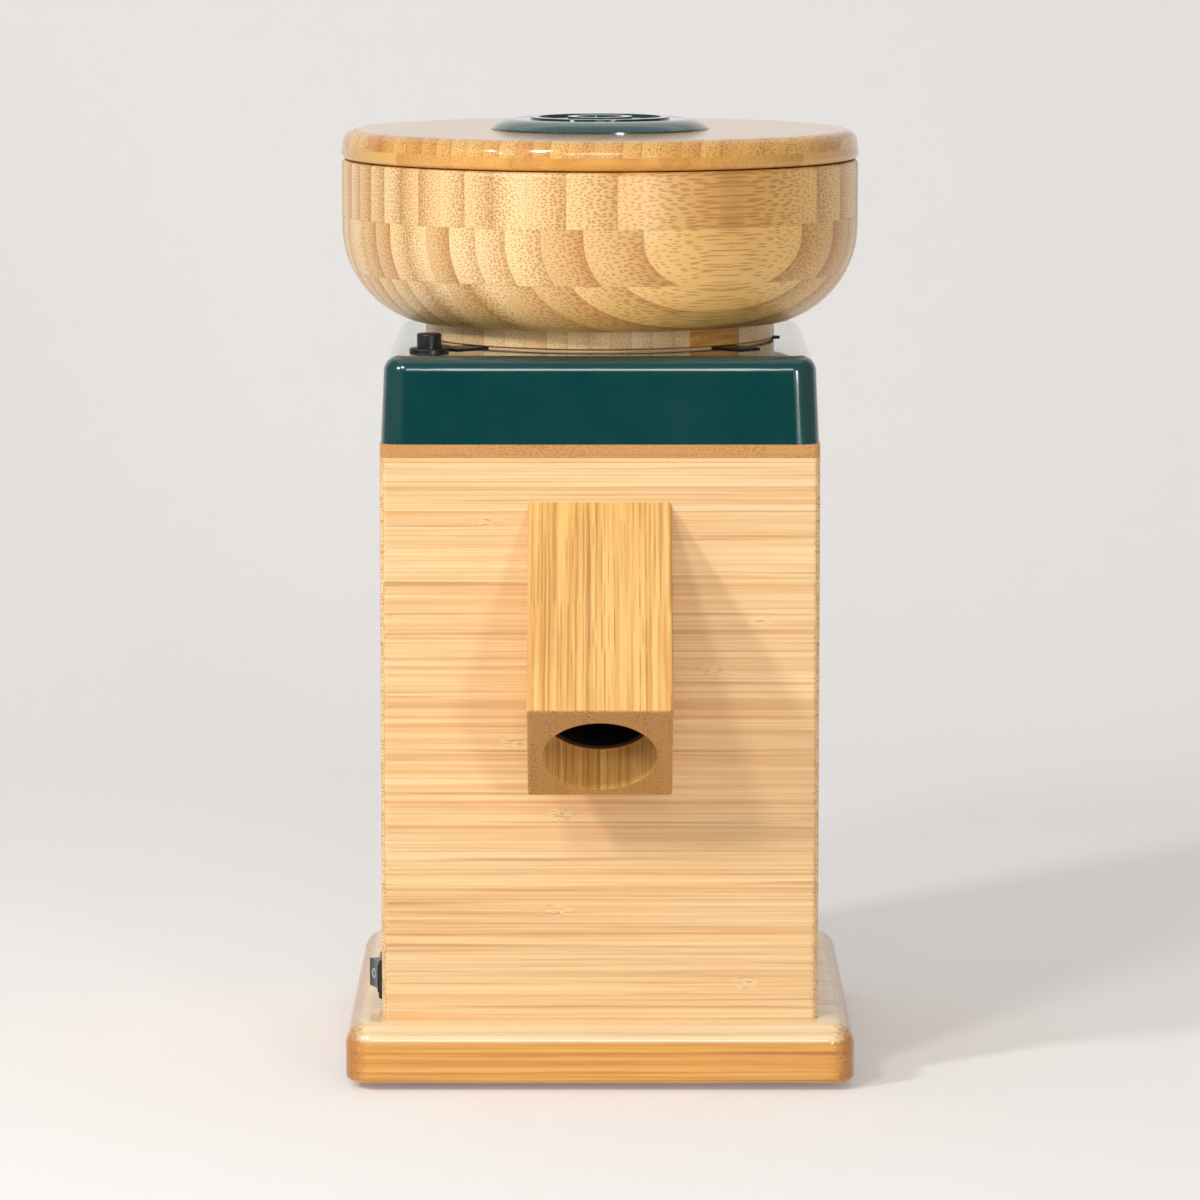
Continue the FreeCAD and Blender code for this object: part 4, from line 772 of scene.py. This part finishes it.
class MILL_OT_cap(bpy.types.Operator):
    """Finish the enamelled cap and the domed badge of the lid"""
    bl_idname = "mill.cap"
    bl_label = "Cap and badge"

    def execute(self, context):
        finish = context.scene.mill_finish
        enamel = moulded("teal_enamel", finish.enamel, grain=6.0, smooth=0.16, rough=0.22, depth=0.012,
                         worn=0.06, coat=1.0, coat_roughness=0.03)
        dress(enamel, "top_cap", "lid_badge")
        return {"FINISHED"}


def ring_material(finish):
    """Black plastic, with the round rim under the neck painted a pale wood colour: a painted reflection of
    the neck, over the shade of the gap.
    """
    material, w, shader = blank_material("ring_plastic")
    local = w.node("TexCoord").outputs
    x, y, z = w.parts(w.vector("SUBTRACT", local["Object"], MILL_AXIS))
    radius = w.math("SQRT", w.plus(w.times(x, x), w.times(y, y)))
    # Painted reflection of the neck on the ring's rim, painted over the shade of the gap
    rim = w.times(w.math("LESS_THAN", radius, PAINTED_REFLECTION_RADIUS), w.math("GREATER_THAN", z, PAINTED_REFLECTION_LEVEL))
    plastic = grouped(w, "grit", {"Place": local["Object"], "Grain": 0.35, "Smooth": 0.28, "Rough": 0.42,
                                  "Color": linear(finish.plastic)})
    painted_neck_reflection = grouped(w, "grit", {"Place": local["Object"], "Grain": 0.6, "Smooth": 0.8, "Rough": 0.95,
                               "Color": linear(finish.painted_neck_reflection), "Worn": 0.3})
    w.feed(shader.inputs["Base Color"], w.blended(rim, plastic["Color"], painted_neck_reflection["Color"]))
    w.feed(shader.inputs["Roughness"], w.between(rim, plastic["Roughness"], painted_neck_reflection["Roughness"]))
    raised(w, shader, plastic["Height"], 0.02 * MM)
    return material


class MILL_OT_adjuster(bpy.types.Operator):
    """Finish the fixed ring under the neck, the release button and its bush"""
    bl_idname = "mill.adjuster"
    bl_label = "Ring and button"

    def execute(self, context):
        finish = context.scene.mill_finish
        plastic = moulded("black_plastic", finish.plastic, grain=0.35, smooth=0.28, rough=0.42)
        dress(ring_material(finish), "thread_ring")
        dress(plastic, "release_button", "button_bush", "hopper_collar", "feed_throat",
              "cord_gland", "gland_nut", "latch_bar", "latch_post")
        return {"FINISHED"}


def raised_outline(shape, placed, outer, inner, thick):
    """Thin raised figure between an outer and an inner outline. Both are lists of flat points, and
    placed puts a flat point at a height over the surface."""
    rows = []
    for outline, lift in ((outer, 0.0), (outer, thick), (inner, thick), (inner, 0.0)):
        rows.append([shape.verts.new(placed(x, y, lift)) for x, y in outline])
    count = len(outer)
    for here, after in zip(rows, rows[1:] + rows[:1]):
        for step in range(count):
            turn = (step + 1) % count
            shape.faces.new((here[step], here[turn], after[turn], after[step]))


def circle_points(radius, count=40):
    """Flat points of a circle."""
    turns = [2 * math.pi * step / count for step in range(count)]
    return [(radius * math.cos(turn), radius * math.sin(turn)) for turn in turns]


def rocker_face(side):
    """Function that places a flat point on the middle of one half of the rocker's dished face."""
    tilt = math.radians(ROCKER_TILT)
    half = ROCKER_HALF
    sagitta = ROCKER_RISE - ROCKER_DISH
    radius = (half * half + sagitta * sagitta) / (2 * sagitta)
    pivot = Vector((SIDE_FACE + PIVOT_DEPTH, (SWITCH_LOW.y + SWITCH_HIGH.y) / 2,
                    (SWITCH_LOW.z + SWITCH_HIGH.z) / 2))

    def placed(x, y, lift):
        """x runs along the rocker from the middle of that half, y runs up."""
        along = side * half * 0.5 + x
        rise = ROCKER_DISH + radius - math.sqrt(radius * radius - along * along) + lift
        outward = Vector((-rise, along, y))
        return pivot + Matrix.Rotation(tilt, 3, "Z") @ outward

    return placed


class MILL_OT_switch(bpy.types.Operator):
    """Finish the power switch and print the circle and bar on its rocker"""
    bl_idname = "mill.switch"
    bl_label = "Power switch"

    def execute(self, context):
        finish = context.scene.mill_finish
        body = moulded("switch_plastic", finish.plastic, grain=0.3, smooth=0.3, rough=0.42)
        rocker = moulded("rocker_plastic", finish.plastic, grain=0.25, smooth=0.22, rough=0.34)
        brass = machined("terminal_brass", (0.86, 0.68, 0.36))
        print_ink = moulded("mark_ink", finish.mark, grain=0.3, smooth=0.5, rough=0.6, depth=0.004)
        dress(body, "switch_housing", "thermal_cutout")
        dress(rocker, "switch_rocker")
        dress(brass, "switch_terminals")
        corners = ((-1, -1), (1, -1), (1, 1), (-1, 1))
        bar = [(x * BAR_HALF_WIDTH, y * BAR_HALF_HEIGHT) for x, y in corners]
        core = [(x * 0.02, y * 0.02) for x, y in bar]
        circle = circle_points(CIRCLE_RADIUS)
        bore = circle_points(CIRCLE_BORE)
        rear = rocker_face(1)
        front = rocker_face(-1)
        mesh_piece("off_mark", lambda shape: raised_outline(shape, rear, circle, bore, MARK_THICKNESS),
                   print_ink, "rocker")
        mesh_piece("on_mark", lambda shape: raised_outline(shape, front, bar, core, MARK_THICKNESS),
                   print_ink, "rocker")
        return {"FINISHED"}


class MILL_OT_fasteners(bpy.types.Operator):
    """Finish all screws, bolts, nuts and springs"""
    bl_idname = "mill.fasteners"
    bl_label = "Fasteners and springs"

    def execute(self, context):
        zinc = moulded("zinc_plate", (0.72, 0.73, 0.74), grain=0.6, smooth=0.22, rough=0.42, metallic=1.0)
        bright = machined("bright_steel", (0.80, 0.80, 0.81))
        dress(zinc, "foot_screws", "base_screws", "deck_screws", "ring_screws", "chamber_screws",
              "spout_screws", "motor_bolts", "stone_screws", "collar_screws", "clip_screw",
              "capacitor_clip", "stone_nut")
        dress(bright, "motor_shaft", "lower_bearing", "upper_bearing", "button_spring", "carrier_springs")
        return {"FINISHED"}


class MILL_OT_milling(bpy.types.Operator):
    """Finish the millstones, their carriers and the milling chamber"""
    bl_idname = "mill.milling"
    bl_label = "Stones and chamber"

    def execute(self, context):
        finish = context.scene.mill_finish
        stone = moulded("millstone", finish.stone, grain=0.7, smooth=0.75, rough=0.95, depth=0.25, worn=0.3)
        cast = moulded("cast_aluminium", (0.70, 0.71, 0.72), grain=0.5, smooth=0.38, rough=0.55, depth=0.05,
                       metallic=1.0)
        dress(stone, "upper_stone", "lower_stone")
        dress(cast, "milling_chamber", "lower_stone_carrier", "upper_stone_carrier", "motor_lower_bell",
              "motor_upper_bell")
        return {"FINISHED"}


class MILL_OT_motor(bpy.types.Operator):
    """Finish the motor's core, winding, rotor and fan, and the run capacitor"""
    bl_idname = "mill.motor"
    bl_label = "Motor"

    def execute(self, context):
        finish = context.scene.mill_finish
        laminations = machined("lamination_steel", (0.42, 0.43, 0.45), pitch=0.25, smooth=0.35, rough=0.6)
        winding = moulded("winding_copper", finish.copper, grain=0.45, smooth=0.25, rough=0.4, depth=0.2,
                          metallic=1.0)
        fan = moulded("fan_plastic", finish.inner_plastic, grain=0.5, smooth=0.4, rough=0.55)
        can = moulded("capacitor_case", (0.80, 0.80, 0.78), grain=1.2, smooth=0.3, rough=0.45)
        dress(laminations, "stator_core", "rotor_core")
        dress(winding, "stator_winding")
        dress(fan, "cooling_fan")
        dress(can, "run_capacitor")
        dress(machined("end_ring_aluminium", (0.78, 0.79, 0.80)), "rotor_end_rings")
        return {"FINISHED"}


def sweep_mesh(shape, steps=24):
    """Floor that curves up into a wall."""
    bend_start = SWEEP_BACK - SWEEP_BEND
    profile = [(SWEEP_FRONT, 0.0), (bend_start, 0.0)]
    for step in range(1, steps + 1):
        angle = math.pi / 2 * step / steps
        profile.append((bend_start + SWEEP_BEND * math.sin(angle),
                        SWEEP_BEND - SWEEP_BEND * math.cos(angle)))
    profile.append((SWEEP_BACK, SWEEP_HEIGHT))
    rows = [[shape.verts.new((side * SWEEP_HALF_WIDTH, y, z)) for y, z in profile] for side in (-1, 1)]
    for index in range(len(profile) - 1):
        shape.faces.new((rows[0][index], rows[1][index], rows[1][index + 1], rows[0][index + 1]))


def sweep_paper(stage):
    """Pale paper with some light of its own. The camera sees it from its front only."""
    material, w, shader = blank_material("sweep_paper")
    local = w.node("TexCoord").outputs
    paper = grouped(w, "grit", {"Place": local["Object"], "Grain": 8.0, "Smooth": 0.8, "Rough": 0.95,
                                "Color": linear(stage.backdrop), "Worn": 0.02})
    w.feed(shader.inputs["Base Color"], paper["Color"])
    w.feed(shader.inputs["Roughness"], paper["Roughness"])
    shader.inputs["Specular IOR Level"].default_value = 0.1
    ray = w.node("LightPath").outputs
    _, rearward, _ = w.parts(local["Object"])
    glow = w.times(w.math("MAXIMUM", ray["Is Camera Ray"], ray["Is Glossy Ray"]),
                   w.ramp(rearward, -0.4, 1.3, stage.floor_glow, stage.wall_glow))
    shader.inputs["Emission Color"].default_value = linear(stage.glow)
    w.feed(shader.inputs["Emission Strength"], glow)
    geometry = w.node("NewGeometry").outputs
    from_behind = w.times(geometry["Backfacing"], ray["Is Camera Ray"])
    w.feed(shader.inputs["Alpha"], w.math("SUBTRACT", 1.0, from_behind))
    return material


def area_lamp(name, azimuth, elevation, distance, width, height, power):
    """Soft lamp that looks at the middle of the mill. Azimuth is from the front, rightward."""
    lamp = bpy.data.lights.new(name, "AREA")
    lamp.shape = "RECTANGLE"
    lamp.size = width
    lamp.size_y = height
    lamp.energy = power
    holder = bpy.data.objects.new(name, lamp)
    tilt = math.radians(elevation)
    outward = heading(azimuth - 90.0) * math.cos(tilt) + UP * math.sin(tilt)
    holder.location = MILL_AXIS + UP * LAMP_AIM + outward * distance
    holder.rotation_euler = outward.to_track_quat("Z", "Y").to_euler()
    bpy.context.scene.collection.objects.link(holder)


def studio_world(strength):
    """Pale surroundings with a dark patch behind the camera, which the glossy cap mirrors."""
    world = bpy.data.worlds.new("studio")
    world.use_nodes = True
    w = Wiring(world.node_tree)
    background = world.node_tree.nodes["Background"]
    direction = w.vector("NORMALIZE", w.node("TexCoord").outputs["Generated"])
    forward = w.vector("DOT_PRODUCT", direction, (0.0, -1.0, 0.0), output="Value")
    edge = math.cos(math.radians(PATCH_EDGE))
    core = math.cos(math.radians(PATCH_CORE))
    light = w.ramp(forward, edge, core, strength, strength * PATCH_LIGHT)
    seen = w.node("LightPath").outputs["Is Camera Ray"]
    w.feed(background.inputs["Color"], (1.0, 0.99, 0.975, 1.0))
    w.feed(background.inputs["Strength"], w.between(seen, light, SKY_SEEN))
    return world


def place_camera(scene, stage):
    """Camera in front of the mill, looking down a little."""
    camera = bpy.data.cameras.new("camera")
    camera.lens = stage.camera_lens
    camera.sensor_width = 36.0
    holder = bpy.data.objects.new("camera", camera)
    holder.location = MILL_AXIS + Vector((0.0, -stage.camera_distance, stage.camera_height))
    holder.rotation_euler = (math.pi / 2 - stage.camera_pitch, 0.0, 0.0)
    scene.collection.objects.link(holder)
    scene.camera = holder


class MILL_OT_stage(bpy.types.Operator):
    """Set the pale sweep, the lamps and the camera"""
    bl_idname = "mill.stage"
    bl_label = "Stage, lamps and camera"

    def execute(self, context):
        stage = context.scene.mill_stage
        scene = context.scene
        material = sweep_paper(stage)
        shape = bmesh.new()
        sweep_mesh(shape)
        mesh = bpy.data.meshes.new("sweep")
        shape.to_mesh(mesh)
        shape.free()
        for face in mesh.polygons:
            face.use_smooth = True
        sweep = bpy.data.objects.new("sweep", mesh)
        mesh.materials.append(material)
        scene.collection.objects.link(sweep)

        scene.world = studio_world(stage.sky)
        for name, (*place, power) in LAMPS.items():
            area_lamp(name, *place, getattr(stage, power))
        place_camera(scene, stage)
        scene.view_settings.view_transform = "Standard"
        return {"FINISHED"}


OPERATORS = (MILL_OT_bowl, MILL_OT_lid, MILL_OT_housing, MILL_OT_base, MILL_OT_spout, MILL_OT_cap,
             MILL_OT_adjuster, MILL_OT_switch, MILL_OT_fasteners, MILL_OT_milling, MILL_OT_motor,
             MILL_OT_stage)


class MILL_PT_panel(bpy.types.Panel):
    """Lists the mill's sizes, colours and steps"""
    bl_idname = "MILL_PT_panel"
    bl_label = "Grain mill"
    bl_space_type = "VIEW_3D"
    bl_region_type = "UI"
    bl_category = "Grain mill"

    def draw(self, context):
        for group in (context.scene.mill_bamboo, context.scene.mill_finish, context.scene.mill_stage):
            box = self.layout.box()
            for name in group.bl_rna.properties.keys():
                if name not in ("rna_type", "name"):
                    box.prop(group, name)
        for operator in OPERATORS:
            self.layout.operator(operator.bl_idname)


SETTINGS = {"mill_bamboo": MillBambooSettings, "mill_finish": MillFinishSettings,
            "mill_stage": MillStageSettings}


def register():
    for settings in SETTINGS.values():
        bpy.utils.register_class(settings)
    for name, settings in SETTINGS.items():
        setattr(bpy.types.Scene, name, bpy.props.PointerProperty(type=settings))
    for shown in (*OPERATORS, MILL_PT_panel):
        bpy.utils.register_class(shown)


def unregister():
    for shown in reversed((*OPERATORS, MILL_PT_panel)):
        bpy.utils.unregister_class(shown)
    for name in SETTINGS:
        delattr(bpy.types.Scene, name)
    for settings in SETTINGS.values():
        bpy.utils.unregister_class(settings)


def main():
    register()
    bpy.ops.mill.bowl()
    bpy.ops.mill.lid()
    bpy.ops.mill.housing()
    bpy.ops.mill.base()
    bpy.ops.mill.spout()
    bpy.ops.mill.cap()
    bpy.ops.mill.adjuster()
    bpy.ops.mill.switch()
    bpy.ops.mill.fasteners()
    bpy.ops.mill.milling()
    bpy.ops.mill.motor()
    bpy.ops.mill.stage()


if __name__ == "__main__":
    main()
